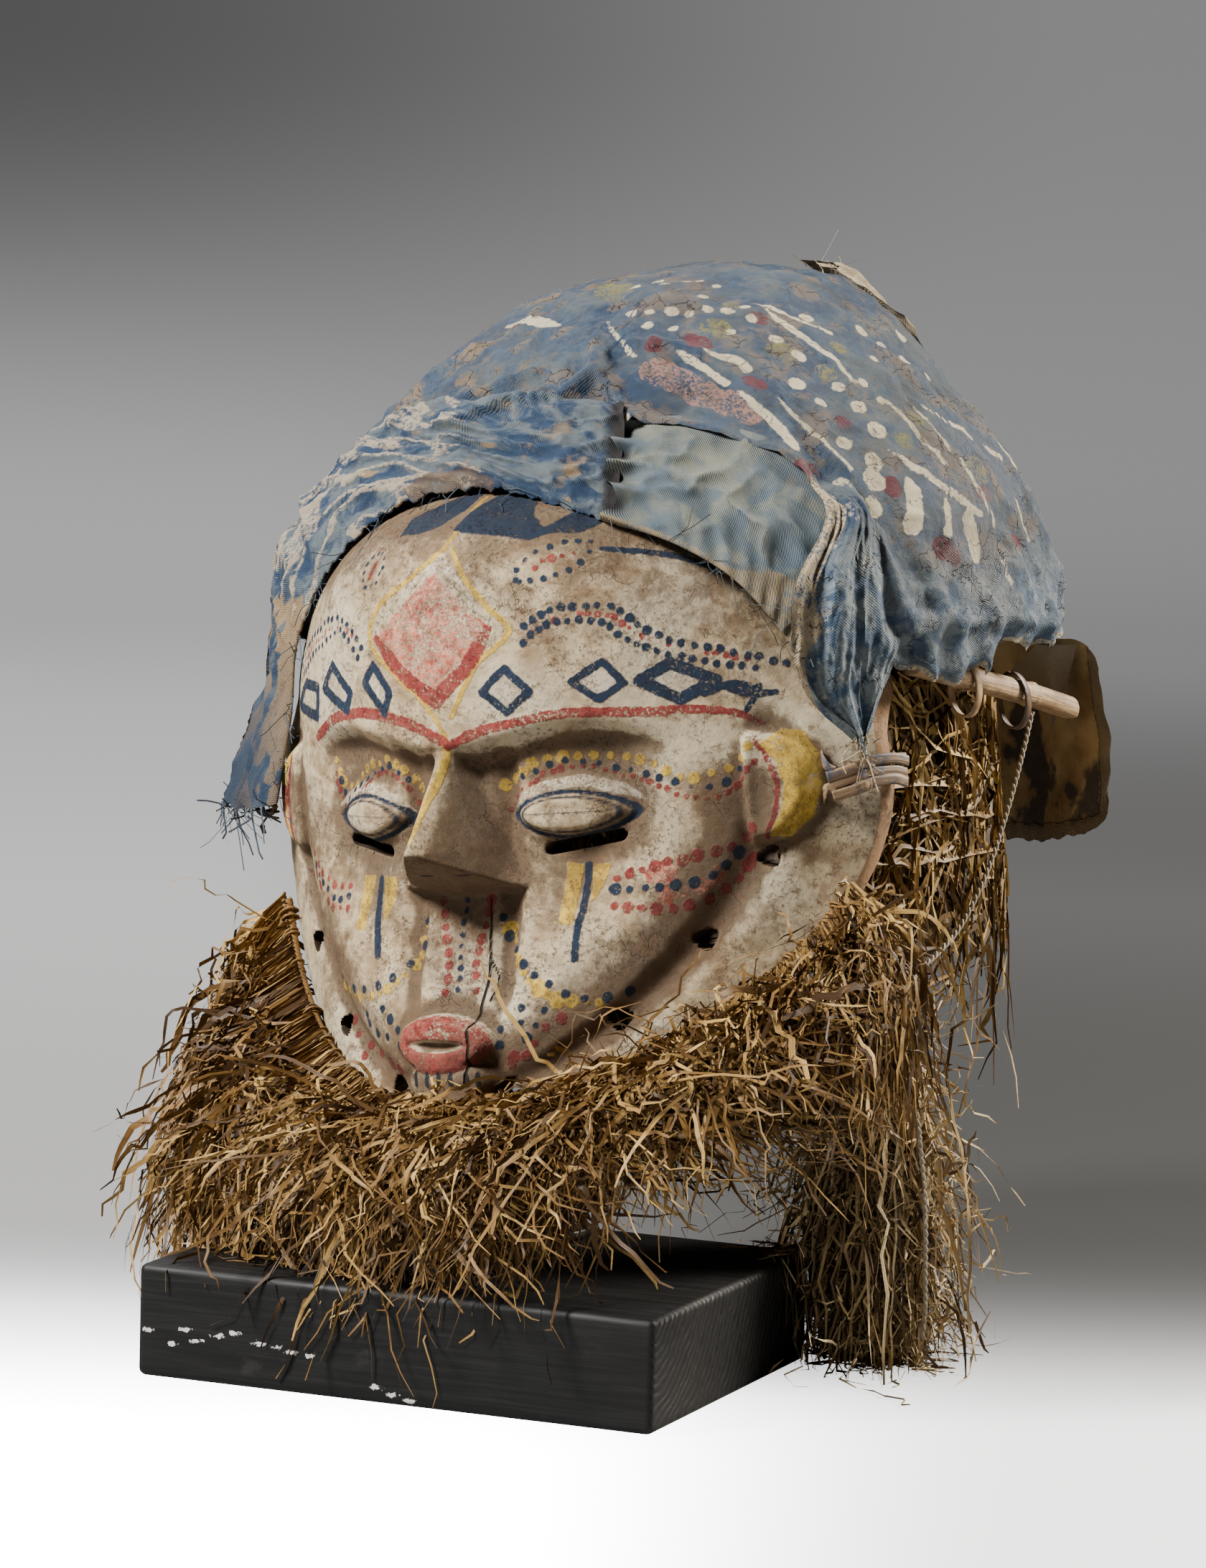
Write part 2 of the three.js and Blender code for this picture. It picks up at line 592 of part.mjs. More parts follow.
function mesh(name, geometry, finish) {
  const [color, roughness, metalness] = FINISH[finish];
  const made = new THREE.Mesh(geometry, new THREE.MeshStandardMaterial({ color, roughness, metalness }));
  made.name = name;
  return made;
}

const mask = new THREE.Group();
mask.add(
  mesh('wooden_face', woodenFace(), 'wood'),
  mesh('cap_cloth', capCloth(), 'blue'),
  mesh('brow_cloth', browCloth(), 'blue'),
  mesh('temple_cloth', templeCloth(), 'twill'),
  mesh('temple_drape', templeDrape(), 'blue'),
  mesh('neck_cloth', neckCloth(), 'tan'),
  mesh('crown_patch', crownPatch(), 'tan'),
  mesh('cane_hoop', caneHoop(), 'cane'),
  mesh('split_cane', splitCane(), 'cane'),
  mesh('cane_strap_1', caneStrap(0.3), 'cane'),
  mesh('cane_strap_2', caneStrap(0.6), 'cane'),
  mesh('rim_lashing', rimLashing(), 'cane'),
  mesh('side_knot', sideKnot(), 'cane'),
  mesh('raffia_beard', raffiaBeard(), 'raffia'),
  mesh('raffia_curtain', raffiaCurtain(), 'raffia'),
  mesh('twisted_cord', twistedCord(), 'cord'),
);
mask.applyMatrix4(maskPose);

const part = new THREE.Group();
part.add(
  mesh('stand_block', standBlock(), 'block'),
  mesh('stand_cradle', standCradle(), 'steel'),
  mesh('raffia_tuft', raffiaTuft(), 'raffia'),
  mask,
);

// Origin at the middle of the part's footprint, on the surface that the block stands on. The cord
// is left out of this, as a thing that hangs loose.
part.updateMatrixWorld(true);
const extent = new THREE.Box3();
part.traverse((node) => {
  if (node.isMesh && node.name !== 'twisted_cord') extent.union(new THREE.Box3().setFromObject(node, true));
});
const middle = extent.getCenter(V(0, 0, 0));
part.position.set(-middle.x, -middle.y, -extent.min.z);

export default part;
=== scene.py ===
# Suku initiation mask: carved and painted wooden face, old painted cloth over a cane frame, raffia
# collar and curtain, on its black block. Row frame in metres; the mask's own sizes are in millimetres
# from the middle of its ear line, X to the picture's right, Y to the back and Z up.
import math

import bmesh
import bpy
import numpy as np
from mathutils import Matrix, Vector


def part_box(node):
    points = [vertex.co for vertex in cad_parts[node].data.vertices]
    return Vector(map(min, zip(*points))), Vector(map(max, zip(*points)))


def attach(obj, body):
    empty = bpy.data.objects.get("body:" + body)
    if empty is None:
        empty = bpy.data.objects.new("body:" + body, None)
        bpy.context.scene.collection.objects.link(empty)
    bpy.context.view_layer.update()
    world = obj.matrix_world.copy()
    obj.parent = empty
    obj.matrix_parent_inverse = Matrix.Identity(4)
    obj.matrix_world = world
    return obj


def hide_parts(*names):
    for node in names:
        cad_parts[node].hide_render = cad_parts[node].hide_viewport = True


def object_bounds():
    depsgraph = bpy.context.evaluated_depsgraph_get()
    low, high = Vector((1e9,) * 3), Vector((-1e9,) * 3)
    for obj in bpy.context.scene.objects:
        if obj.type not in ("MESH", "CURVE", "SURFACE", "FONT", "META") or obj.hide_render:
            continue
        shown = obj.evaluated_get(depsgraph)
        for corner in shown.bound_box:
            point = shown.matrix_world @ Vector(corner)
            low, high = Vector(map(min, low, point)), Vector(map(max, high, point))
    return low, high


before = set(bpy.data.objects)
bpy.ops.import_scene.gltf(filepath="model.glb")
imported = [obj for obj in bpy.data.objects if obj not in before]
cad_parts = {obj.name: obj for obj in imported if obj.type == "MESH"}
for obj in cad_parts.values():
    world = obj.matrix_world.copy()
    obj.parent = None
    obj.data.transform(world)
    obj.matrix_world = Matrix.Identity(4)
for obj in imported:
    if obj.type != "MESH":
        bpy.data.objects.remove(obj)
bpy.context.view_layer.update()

# Where the block's front left corner is, and how the mask stands over it
MM = 0.001
CORNER = Vector(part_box("stand_block")[0])
MASK_AT = (100.8, 132.0, 191.3)
MASK_TURN, MASK_LEAN = -11.5, 6.3
POSE = (
    Matrix.Translation(CORNER)
    @ Matrix.Scale(MM, 4)
    @ Matrix.Translation(MASK_AT)
    @ Matrix.Rotation(math.radians(MASK_TURN), 4, "Z")
    @ Matrix.Rotation(-math.radians(MASK_LEAN), 4, "Y")
)
POSE_ROWS = np.array(POSE)


def to_row(points):
    """Mask points in millimetres, as points of the row frame in metres."""
    return np.asarray(points, float) @ POSE_ROWS[:3, :3].T + POSE_ROWS[:3, 3]


# Camera: the photograph's angle, worked out from the block's edges and the mask's pairs of points.
# Azimuth, elevation, roll, distance and the aim's offset are measured from the block's corner.
IMAGE_HIGH = 2184
FOCAL_PX = 9170
AZIMUTH, ELEVATION, ROLL = math.radians(22.5), math.radians(6.9), math.radians(-1.7)
DISTANCE, AIM_ACROSS, AIM_UP = 2.2, 0.15007, 0.20207

toward = Vector(
    (
        math.sin(AZIMUTH) * math.cos(ELEVATION), -math.cos(AZIMUTH) * math.cos(ELEVATION),
        math.sin(ELEVATION)
    )
)
across = Vector((math.cos(AZIMUTH), math.sin(AZIMUTH), 0))
upward = toward.cross(across)
aim = CORNER + across * AIM_ACROSS + upward * AIM_UP
camera_data = bpy.data.cameras.new("camera")
camera_data.sensor_width = 36
camera_data.lens = 36 * FOCAL_PX / IMAGE_HIGH
camera = bpy.data.objects.new("camera", camera_data)
bpy.context.scene.collection.objects.link(camera)
bpy.context.scene.camera = camera
rolled = across * math.cos(ROLL) - upward * math.sin(ROLL)
risen = across * math.sin(ROLL) + upward * math.cos(ROLL)
camera.matrix_world = Matrix.Translation(aim + toward * DISTANCE) @ Matrix(
    (rolled, risen, toward)
).transposed().to_4x4()


# Twisted cord: a thin two-ply raffia cord, tied round the split cane, that hangs in a bow over the
# curtain and then straight down outside the tuft. Its route is the CAD's, point for point.
def spline(points, count, even=False):
    """Points on a centripetal Catmull-Rom curve through the given ones, evenly spaced if asked."""
    p = np.asarray(points, float)
    p = np.vstack([2 * p[0] - p[1], p, 2 * p[-1] - p[-2]])
    share = np.linspace(0, 1, count if not even else 40 * len(points)) * (len(p) - 3)
    k = np.minimum(share.astype(int), len(p) - 4)
    w = (share - k)[:, None]
    a, b, c, d = (p[k + j] for j in range(4))
    gaps = [
        np.sqrt(np.maximum(np.linalg.norm(q - r, axis=1), 1e-6))[:, None] for q,
        r in ((b, a), (c, b), (d, c))
    ]
    g, h, m = gaps
    start = ((b - a) / g - (c - a) / (g + h) + (c - b) / h) * h
    end = ((c - b) / h - (d - b) / (h + m) + (d - c) / m) * h
    out = b + start * w + (3 * (c - b) - 2 * start - end) * w**2 + (2 * (b - c) + start + end) * w**3
    if not even:
        return out
    run = np.concatenate([[0], np.cumsum(np.linalg.norm(np.diff(out, axis=0), axis=1))])
    return np.stack(
        [np.interp(np.linspace(0, run[-1], count), run, out[:, j]) for j in range(out.shape[1])], axis=1
    )


def unit(vectors):
    """Vectors brought to a length of one."""
    return vectors / np.maximum(np.linalg.norm(vectors, axis=-1, keepdims=True), 1e-6)


def xyz(x, y, z):
    """Points or marks from their three values, each an array or one number for all."""
    return np.stack(np.broadcast_arrays(x, y, z), axis=-1)


def frames(line):
    """Unit vectors along a line, across it and out of it."""
    along = unit(np.gradient(line, axis=0))
    side = np.cross(along, (0, 0, 1))
    side += np.where(np.linalg.norm(side, axis=1, keepdims=True) < 0.05, np.array([[0.3, 0, 0]]), 0)
    side = unit(side)
    return along, side, np.cross(side, along)


def rod_sides(sides, steps):
    """The quads between the rings of a rod."""
    i, j = np.meshgrid(np.arange(sides), np.arange(steps - 1))
    near, far = j * sides + i, j * sides + (i + 1) % sides
    return np.stack([near, far, far + sides, near + sides], axis=-1).reshape(-1, 4).tolist()


def rod_faces(sides, steps):
    """The faces of a rod closed by fans to the two end points that follow its rings."""
    first, base = steps * sides, (steps - 1) * sides
    fans = [[first, (k + 1) % sides, k] for k in range(sides)]
    fans += [[first + 1, base + k, base + (k + 1) % sides] for k in range(sides)]
    return rod_sides(sides, steps) + fans


def tube(line, wide, high, sides=10):
    """Points and faces of a closed rod along a line, in the line's own units."""
    _, side, out = frames(line)
    turn = np.arange(sides) / sides * math.tau
    rings = line[:, None] + (np.cos(turn) * np.reshape(wide, (-1, 1)))[..., None] * side[:, None]
    rings = rings + (np.sin(turn) * np.reshape(high, (-1, 1)))[..., None] * out[:, None]
    return np.vstack([rings.reshape(-1, 3), line[:1], line[-1:]]), rod_faces(sides, len(line))


def merged(parts):
    """Several (points, faces) as one."""
    points, faces, start = [], [], 0
    for p, f in parts:
        points.append(p)
        faces += [[k + start for k in face] for face in f]
        start += len(p)
    return np.vstack(points), faces


def piece(name, points, faces, material, slot, node, marks=None):
    """A named mesh from points in millimetres, in place of a CAD node. Marks are its point attributes."""
    mesh = bpy.data.meshes.new(name)
    mesh.from_pydata(to_row(points).tolist(), [], faces)
    mesh.materials.append(material)
    mesh.shade_smooth()
    for key, values in {"place": points, **(marks or {})}.items():
        values = np.asarray(values, np.float32)
        vector = values.ndim > 1 and values.shape[-1] == 3
        kind, field = ("FLOAT_VECTOR", "vector") if vector else ("FLOAT", "value")
        mesh.attributes.new(key, kind, "POINT").data.foreach_set(field, values.ravel())
    made = bpy.data.objects.new(name, mesh)
    bpy.context.scene.collection.objects.link(made)
    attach(made, "root")
    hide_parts(node)
    return made


class Shader:
    """The nodes of one material or group. Each call adds a node and gives its output."""

    def __init__(self, name):
        self.material = bpy.data.materials.new(name)
        self.material.use_nodes = True
        self.tree = self.material.node_tree
        self.surface = self.tree.nodes["Principled BSDF"]

    def put(self, socket, value):
        if isinstance(value, bpy.types.NodeSocket):
            self.tree.links.new(value, socket)
        elif isinstance(value, tuple) and len(value) == 3 and len(socket.default_value) == 4:
            socket.default_value = (*value, 1)
        else:
            socket.default_value = value

    def node(self, kind, output=0, settings=None, **inputs):
        made = self.tree.nodes.new("ShaderNode" + kind)
        for key, value in (settings or {}).items():
            setattr(made, key, value)
        for key, value in inputs.items():
            self.put(made.inputs[int(key[1:]) if key[1:].isdigit() else key], value)
        return made.outputs[output]

    def mark(self, name, output="Fac"):
        return self.node("Attribute", output, {"attribute_name": name})

    def scaled(self, vector, sizes):
        return self.node("VectorMath", 0, {"operation": "MULTIPLY"}, _0=vector, _1=sizes)

    def noise(self, vector, size, detail=3.0, rough=0.55, warp=0.0, output="Fac"):
        return self.node(
            "TexNoise", output, Vector=vector, Scale=1 / size, Detail=detail, Roughness=rough,
            Distortion=warp
        )

    def cracks(self, vector, size, warp=0.5):
        """Distance to the edge of irregular plates, their edges wavering by a share of their size."""
        stray = self.node(
            "VectorMath", 0, {"operation": "SUBTRACT"},
            _0=self.noise(vector, size * 0.8, 3, output="Color"), _1=(0.5, 0.5, 0.5)
        )
        stray = self.scaled(stray, (size * warp * 2,) * 3)
        vector = self.node("VectorMath", 0, {"operation": "ADD"}, _0=vector, _1=stray)
        edge = {"feature": "DISTANCE_TO_EDGE"}
        return self.node("TexVoronoi", "Distance", edge, Vector=vector, Scale=1 / size)

    def math(self, operation, a, b=0.0):
        return self.node("Math", 0, {"operation": operation}, _0=a, _1=b)

    def plus(self, a, b):
        return self.math("ADD", a, b)

    def minus(self, a, b):
        return self.math("SUBTRACT", a, b)

    def times(self, a, b):
        return self.math("MULTIPLY", a, b)

    def ramp(self, value, low, high, start=0.0, end=1.0):
        ease = {"interpolation_type": "SMOOTHSTEP"}
        return self.node("MapRange", 0, ease, Value=value, _1=low, _2=high, _3=start, _4=end)

    def mix(self, share, a, b):
        return self.node("Mix", 2, {"data_type": "RGBA"}, _0=share, _6=a, _7=b)

    def over(self, colour, coat, mask, share=1.0):
        """A colour with a coat of another laid over it where a mask says."""
        return self.mix(mask if share == 1 else self.times(mask, share), colour, coat)

    def bump(self, height, depth):
        return self.node("Bump", 0, Height=height, Distance=depth * MM, Strength=1.0)

    def use(self, group, output=0, **inputs):
        made = self.tree.nodes.new("ShaderNodeGroup")
        made.node_tree = group
        for key, value in inputs.items():
            self.put(made.inputs[key], value)
        return made.outputs[output]

    def finish(self, colour, rough, normal=None, shine=0.5, **others):
        others.update({"Base Color": colour, "Roughness": rough, "Specular IOR Level": shine})
        if normal:
            others["Normal"] = normal
        for key, value in others.items():
            self.put(self.surface.inputs[key], value)
        return self.material


def group(name, inputs, outputs, build):
    """A shader node group: inputs and outputs are {name: socket type}, build fills in the nodes."""
    inner = Shader.__new__(Shader)
    inner.tree = bpy.data.node_groups.new(name, "ShaderNodeTree")
    for key, kind in inputs.items():
        inner.tree.interface.new_socket(key, in_out="INPUT", socket_type="NodeSocket" + kind)
    for key, kind in outputs.items():
        inner.tree.interface.new_socket(key, in_out="OUTPUT", socket_type="NodeSocket" + kind)
    given = inner.tree.nodes.new("NodeGroupInput")
    result = inner.tree.nodes.new("NodeGroupOutput")
    for key, value in build(inner, {key: given.outputs[key] for key in inputs}).items():
        inner.put(result.inputs[key], value)
    return inner.tree


CORD_DIAMETER = 2.0
CORD_PLY_TURNS = 44
CORD_ROUTE = [
    (110.5, 117, 15.5), (111.5, 108, 3), (112.5, 93, -17), (113, 76, -37), (112, 58, -54), (112, 41, -62),
    (113, 26, -67), (115, 18, -76), (117, 13, -88), (118, 12, -102), (120, 11, -118), (120, 12, -134),
    (118, 15, -149), (115, 18, -165), (112, 21, -180), (109, 23, -190),
]
cord_line = spline(CORD_ROUTE, 360, even=True)
_, cord_side, cord_out = frames(cord_line)
plies = []
for phase in (0.0, math.pi):
    turn = (np.linspace(0, CORD_PLY_TURNS * math.tau, len(cord_line)) + phase)[:, None]
    plies.append(
        tube(
            cord_line + (cord_side * np.cos(turn) + cord_out * np.sin(turn)) * CORD_DIAMETER * 0.24, 0.52,
            0.52, 8
        )
    )
s = Shader("cord_fibre")
place = s.mark("place", "Vector")
fibre = s.noise(s.scaled(place, (3.0, 3.0, 0.8)), 1.0, 4)
s.finish(s.mix(fibre, (0.2, 0.15, 0.09), (0.55, 0.48, 0.36)), 0.8, s.bump(fibre, 0.25))
twisted_cord = piece("cord_two_ply", *merged(plies), s.material, "cord", "twisted_cord")


# Setting: a pale round floor that sweeps up into a wall all round. Its light is painted into it: white in
# front, grey behind and a painted shadow at the right. Seen from outside it lets the view through. A strong
# soft key light stands at the upper left, and weak ones at the right and behind.
COVE_RADIUS, COVE_BEND, COVE_HIGH, COVE_SIDES = 3.4, 0.8, 3.2, 72
STAGE_CENTRE = CORNER + across * 0.12
floor_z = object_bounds()[0][2]
profile = [(r, 0.0) for r in (0.02, 0.2, 0.4, 0.7, 1.1, 1.7, 2.3)]
for k in range(17):
    turn = math.pi / 2 * k / 16
    profile.append((COVE_RADIUS - COVE_BEND * (1 - math.sin(turn)), COVE_BEND * (1 - math.cos(turn))))
profile.append((COVE_RADIUS, COVE_HIGH))
cove_turns = np.arange(COVE_SIDES) / COVE_SIDES * math.tau
cove_points = [
    (STAGE_CENTRE.x + r * math.cos(a), STAGE_CENTRE.y + r * math.sin(a), floor_z + z) for r,
    z in profile for a in cove_turns
]
cove_faces = [
    (
        j * COVE_SIDES + i, (j + 1) * COVE_SIDES + i, (j + 1) * COVE_SIDES + (i + 1) % COVE_SIDES,
        j * COVE_SIDES + (i + 1) % COVE_SIDES
    )
    for j in range(len(profile) - 1) for i in range(COVE_SIDES)
]
cove_faces.append(tuple(range(COVE_SIDES)))
setting_mesh = bpy.data.meshes.new("setting")
setting_mesh.from_pydata(cove_points, [], cove_faces)
setting_mesh.shade_smooth()
setting = bpy.data.objects.new("setting", setting_mesh)
bpy.context.scene.collection.objects.link(setting)
s = Shader("setting_paper")
front_way = Vector((toward.x, toward.y, 0)).normalized()
where = s.node(
    "VectorMath", 0, {"operation": "SUBTRACT"}, _0=s.node("NewGeometry", "Position"),
    _1=tuple(STAGE_CENTRE)
)
behind = s.node("VectorMath", 1, {"operation": "DOT_PRODUCT"}, _0=where, _1=tuple(-front_way))
right = s.node("VectorMath", 1, {"operation": "DOT_PRODUCT"}, _0=where, _1=tuple(across))
height = s.node("SeparateXYZ", 2, Vector=where)
side = s.math("DIVIDE", right, s.math("MAXIMUM", s.plus(behind, 2.3), 0.5))


def between_tones(share, first, second):
    """A value that passes from a first one to a second one."""
    return s.plus(first, s.times(share, s.minus(second, first)))


def summed(*ramps):
    """The sum of ramps, each told by its value, its two ends and what it gives at them."""
    total = s.ramp(*ramps[0])
    for ramp in ramps[1:]:
        total = s.plus(total, s.ramp(*ramp))
    return total


# Painted light and shadow: how bright the paper is, lit at the left and in a painted shadow of the mask at
# the right
to_side = between_tones(s.ramp(behind, 0.12, -0.02), s.ramp(side, -0.05, 0.05), s.ramp(side, -0.01, 0.08))
to_side = between_tones(s.ramp(height, 0.05, 0.3), to_side, s.ramp(side, -0.1, 0.08))
lit_side = summed(
    (behind, -0.12, 0.28, 4.8, -0.8), (behind, 0.4, 1.2, 0.0, 0.4), (behind, 1.9, 2.7, 0.0, -0.3),
    (height, 0.03, 0.43, 0.0, -2.45)
)
dark_side = summed(
    (behind, -0.06, 0.32, 1.6, -4.4), (behind, 0.3, 0.5, 0.0, -0.6), (behind, 0.5, 1.3, 0.0, 1.9),
    (behind, 1.3, 2.6, 0.0, 1.45), (behind, 2.6, 2.95, 0.0, 0.25), (height, 0.1, 0.43, 0.0, -0.25)
)
tone = between_tones(to_side, lit_side, dark_side)
tone = s.math("POWER", 2.0, s.plus(tone, s.ramp(behind, -2.0, -0.5, -4.5, 0.0)))
# The paper's colour and a glow that only the camera sees both follow this painted light
paper = s.mix(s.times(tone, 0.4), (0.0, 0.0, 0.0), (0.3, 0.3, 0.3))
painted_glow = s.times(s.times(tone, 0.7), s.node("LightPath", "Is Camera Ray"))
seen_inside = s.minus(1.0, s.node("NewGeometry", "Backfacing"))
setting_mesh.materials.append(
    s.finish(
        paper, 0.9,
        **{"Emission Color": (1.0, 0.995, 1.0), "Emission Strength": painted_glow, "Alpha": seen_inside}
    )
)


def area_light(name, place, wide, watts, colour):
    """A square light at a place given along the picture's right, up and towards the camera."""
    data = bpy.data.lights.new(name, "AREA")
    data.size, data.energy, data.color = wide, watts, colour
    light = bpy.data.objects.new(name, data)
    bpy.context.scene.collection.objects.link(light)
    light.location = aim + across * place[0] + Vector((0, 0, place[1])) + front_way * place[2]
    light.rotation_euler = (aim - light.location).to_track_quat("-Z", "Y").to_euler()


area_light("key", (-1.15, 1.18, 0.58), 0.42, 102, (1.0, 0.975, 0.94))
area_light("side", (1.2, 0.75, -0.55), 0.4, 64, (1.0, 0.93, 0.82))
area_light("back", (-0.5, 1.0, -1.3), 0.5, 10, (0.95, 0.97, 1.0))
world = bpy.data.worlds.new("room")
bpy.context.scene.world = world
world.use_nodes = True
world.node_tree.nodes["Background"].inputs["Color"].default_value = (0.8, 0.85, 0.95, 1)
world.node_tree.nodes["Background"].inputs["Strength"].default_value = 0.03


# Effects that several materials share: hand-painted edges with wear, a plain weave, and soil.
def brush_nodes(s, given):
    place = given["Place"]
    wobble = s.minus(s.noise(place, 2.2, 3), 0.5)
    wobble = s.times(wobble, given["Rough"])
    inside = s.ramp(s.plus(given["Distance"], wobble), -0.3, 0.35)
    specks = s.plus(s.times(s.noise(place, 1.1, 5, 0.7), 0.7), s.times(s.noise(place, 9.0, 3), 0.3))
    worn = s.ramp(specks, given["Wear"], s.plus(given["Wear"], 0.1), 1.0, 0.0)
    return {"Mask": s.times(inside, s.minus(1.0, worn))}


def weave_nodes(s, given):
    turns = s.scaled(given["Cloth"], (math.tau, math.tau, 0.0))
    turns = s.node("VectorMath", 0, {"operation": "SCALE"}, _0=turns, _3=given["Threads"])
    parts = s.tree.nodes.new("ShaderNodeSeparateXYZ")
    s.put(parts.inputs[0], turns)
    warp, weft = (s.math("SINE", parts.outputs[k]) for k in (0, 1))
    return {"Height": s.times(s.plus(s.times(warp, weft), 1.0), 0.5)}


def soil_nodes(s, given):
    place = given["Place"]
    broad = s.noise(place, 24.0, 3, 0.6, 0.4)
    fine = s.noise(place, 4.0, 5, 0.7)
    both = s.plus(s.times(broad, 0.6), s.times(fine, 0.4))
    level = s.minus(0.74, s.times(given["Amount"], 0.4))
    return {"Mask": s.ramp(both, s.minus(level, 0.1), s.plus(level, 0.12))}


brush = group(
    "brush", {"Distance": "Float", "Place": "Vector", "Wear": "Float", "Rough": "Float"},
    {"Mask": "Float"}, brush_nodes
)
weave = group("weave", {"Cloth": "Vector", "Threads": "Float"}, {"Height": "Float"}, weave_nodes)
soil = group("soil", {"Place": "Vector", "Amount": "Float"}, {"Mask": "Float"}, soil_nodes)


# Wooden face: one hollow carved piece, thin at its rims, with an overhanging brow, a long nose, bulging
# lens eyes over open slits, small lips and ears, and holes along the rim for the raffia's lacing. It is
# coated with white earth and painted with dots, lozenges and stripes in blue, red and yellow.
RIM_HALF, RIM_DOWN, RIM_UP, ROUND_DOWN, ROUND_UP = 123.0, 101.5, 116.0, 1.95, 2.2
EYE_X, EYE_Z, EYE_LONG, EYE_HIGH = 41.0, -3.0, 19.5, 7.5
SLIT_INNER, SLIT_OUTER, SLIT_Z, SLIT_HALF, SLIT_TILT = 31.0, 57.0, -12.6, 2.2, 0.16
LACING_HOLES = [(-60.5, -74), (54, -71.5), (-26.5, -93), (20, -93), (78, -47), (95.5, -21), (-85, -47)]
LACING_RADIUS = 3.6
MOUTH_X, MOUTH_Z, MOUTH_LONG, MOUTH_HIGH = -2.0, -77.5, 19.5, 9.5
EAR_X, EAR_Z = 93.0, 2.0
SECTION_FRONT, SECTION_SLOPE, SECTION_CURVE, SECTION_BLUNT = -93, 0.25, 0.0038, 6
CHEEK_HALF, CHEEK_DOWN, CHEEK_ROUND = 95, 97, 1.6
BROW_MIDDLE, BROW_RISE, BROW_FALL, BROW_PEAK = 22.4, 8, 5, 45
NOSE_TOP, NOSE_TIP, NOSE_OUT, NOSE_NARROW, NOSE_FLARE = 22, -13, -12.8, 5, 19
WALL_RIM, WALL_MIDDLE, WALL_MOST = 5.5, 11, 34


def smooth(t):
    k = np.clip(t, 0, 1)
    return k * k * (3 - 2 * k)


def mix(a, b, t):
    return a + (b - a) * t


def ripple(points, size, seed, octaves=3):
    """Soft noise from -1 to 1 at points, from seeded sine waves."""
    rng = np.random.default_rng(seed)
    total, weight = 0, 1.0
    for _ in range(octaves):
        for _ in range(7):
            wave = rng.normal(size=np.shape(points)[-1])
            wave *= (0.7 + 0.6 * rng.random()) * math.tau / size / np.linalg.norm(wave)
            total = total + weight * np.sin(points @ wave + rng.random() * math.tau)
        weight, size = weight * 0.5, size * 0.45
    return total / 7


def rim_half(z):
    reach, power = np.where(z < 0, RIM_DOWN, RIM_UP), np.where(z < 0, ROUND_DOWN, ROUND_UP)
    return RIM_HALF * np.maximum(0, 1 - np.minimum(1, np.abs(z) / reach) ** power) ** (1 / power)


def section_y(x):
    soft = np.hypot(x, SECTION_BLUNT) - SECTION_BLUNT
    return SECTION_FRONT + SECTION_SLOPE * soft + SECTION_CURVE * x * x


def forehead_depth(x, z):
    return 2 + 7 * np.exp(-((x / 30) ** 2)) + 36 * np.hypot(z / 104, x / 150) ** 8.4


def cheek_edge(x, z):
    low = np.where(z < 0, np.abs(z) / CHEEK_DOWN, 0)
    return ((np.abs(x) / CHEEK_HALF) ** CHEEK_ROUND + low**CHEEK_ROUND) ** (1 / CHEEK_ROUND)


def cheek_depth(x, z):
    edge = cheek_edge(x, z)
    side = mix(7, 12, smooth((z + 60) / 45)) * (1 - smooth((edge - 0.5) / 0.42))
    middle = mix(5, 9, smooth((z + 65) / 35)) * np.exp(-((x / 21) ** 2))
    strip = mix(0, 3, smooth((x * x - 150) / 200)) * smooth((z + 72) / 12) * (
        1 - smooth((np.abs(x) - 18) / 8)
    )
    return side + middle + strip - 2 * (1 - smooth((edge - 0.8) / 0.2))


def brow_z(x):
    t = np.abs(x) / BROW_PEAK
    return BROW_MIDDLE + BROW_RISE * smooth(t) - BROW_FALL * smooth((t - 1) / 1.1)


def plain_depth(x, z):
    under = smooth((brow_z(x) - z) / 11)
    edge = cheek_edge(x, z)
    inside = mix(forehead_depth(x, z), cheek_depth(x, z) + 2, under)
    flange = mix(5, 0.5, smooth((edge - 1) / 0.14))
    outside = mix(forehead_depth(x, z), flange, 1 - smooth((z - 14) / 24))
    return mix(inside, outside, smooth((edge - 0.94) / 0.07))


def eye_ring(x, z):
    """0 at an eye's middle and 1 on its almond outline, pointed at both ends."""
    along = (np.abs(x) - EYE_X) / EYE_LONG
    return np.hypot(along, (z - EYE_Z) / EYE_HIGH / np.maximum(0.25, 1 - 0.35 * along**2))


def slit_gap(x, z):
    """Distance into the open slit under each eye, negative inside it."""
    middle, half = (SLIT_INNER + SLIT_OUTER) / 2, (SLIT_OUTER - SLIT_INNER) / 2
    along = np.abs(x) - middle
    level = z - SLIT_Z - along * SLIT_TILT
    return np.hypot(np.maximum(0, np.abs(along) - half + SLIT_HALF), level) - SLIT_HALF


def opening(x, z):
    """Distance to the nearest hole through the wood, negative inside it."""
    gaps = [
        np.hypot(x - a, z - b) * (
            1 + 0.12 * np.sin(3 * np.arctan2(z - b, x - a) + a)
        ) - LACING_RADIUS for a,
        b in LACING_HOLES
    ]
    return np.minimum.reduce([slit_gap(x, z), *gaps])


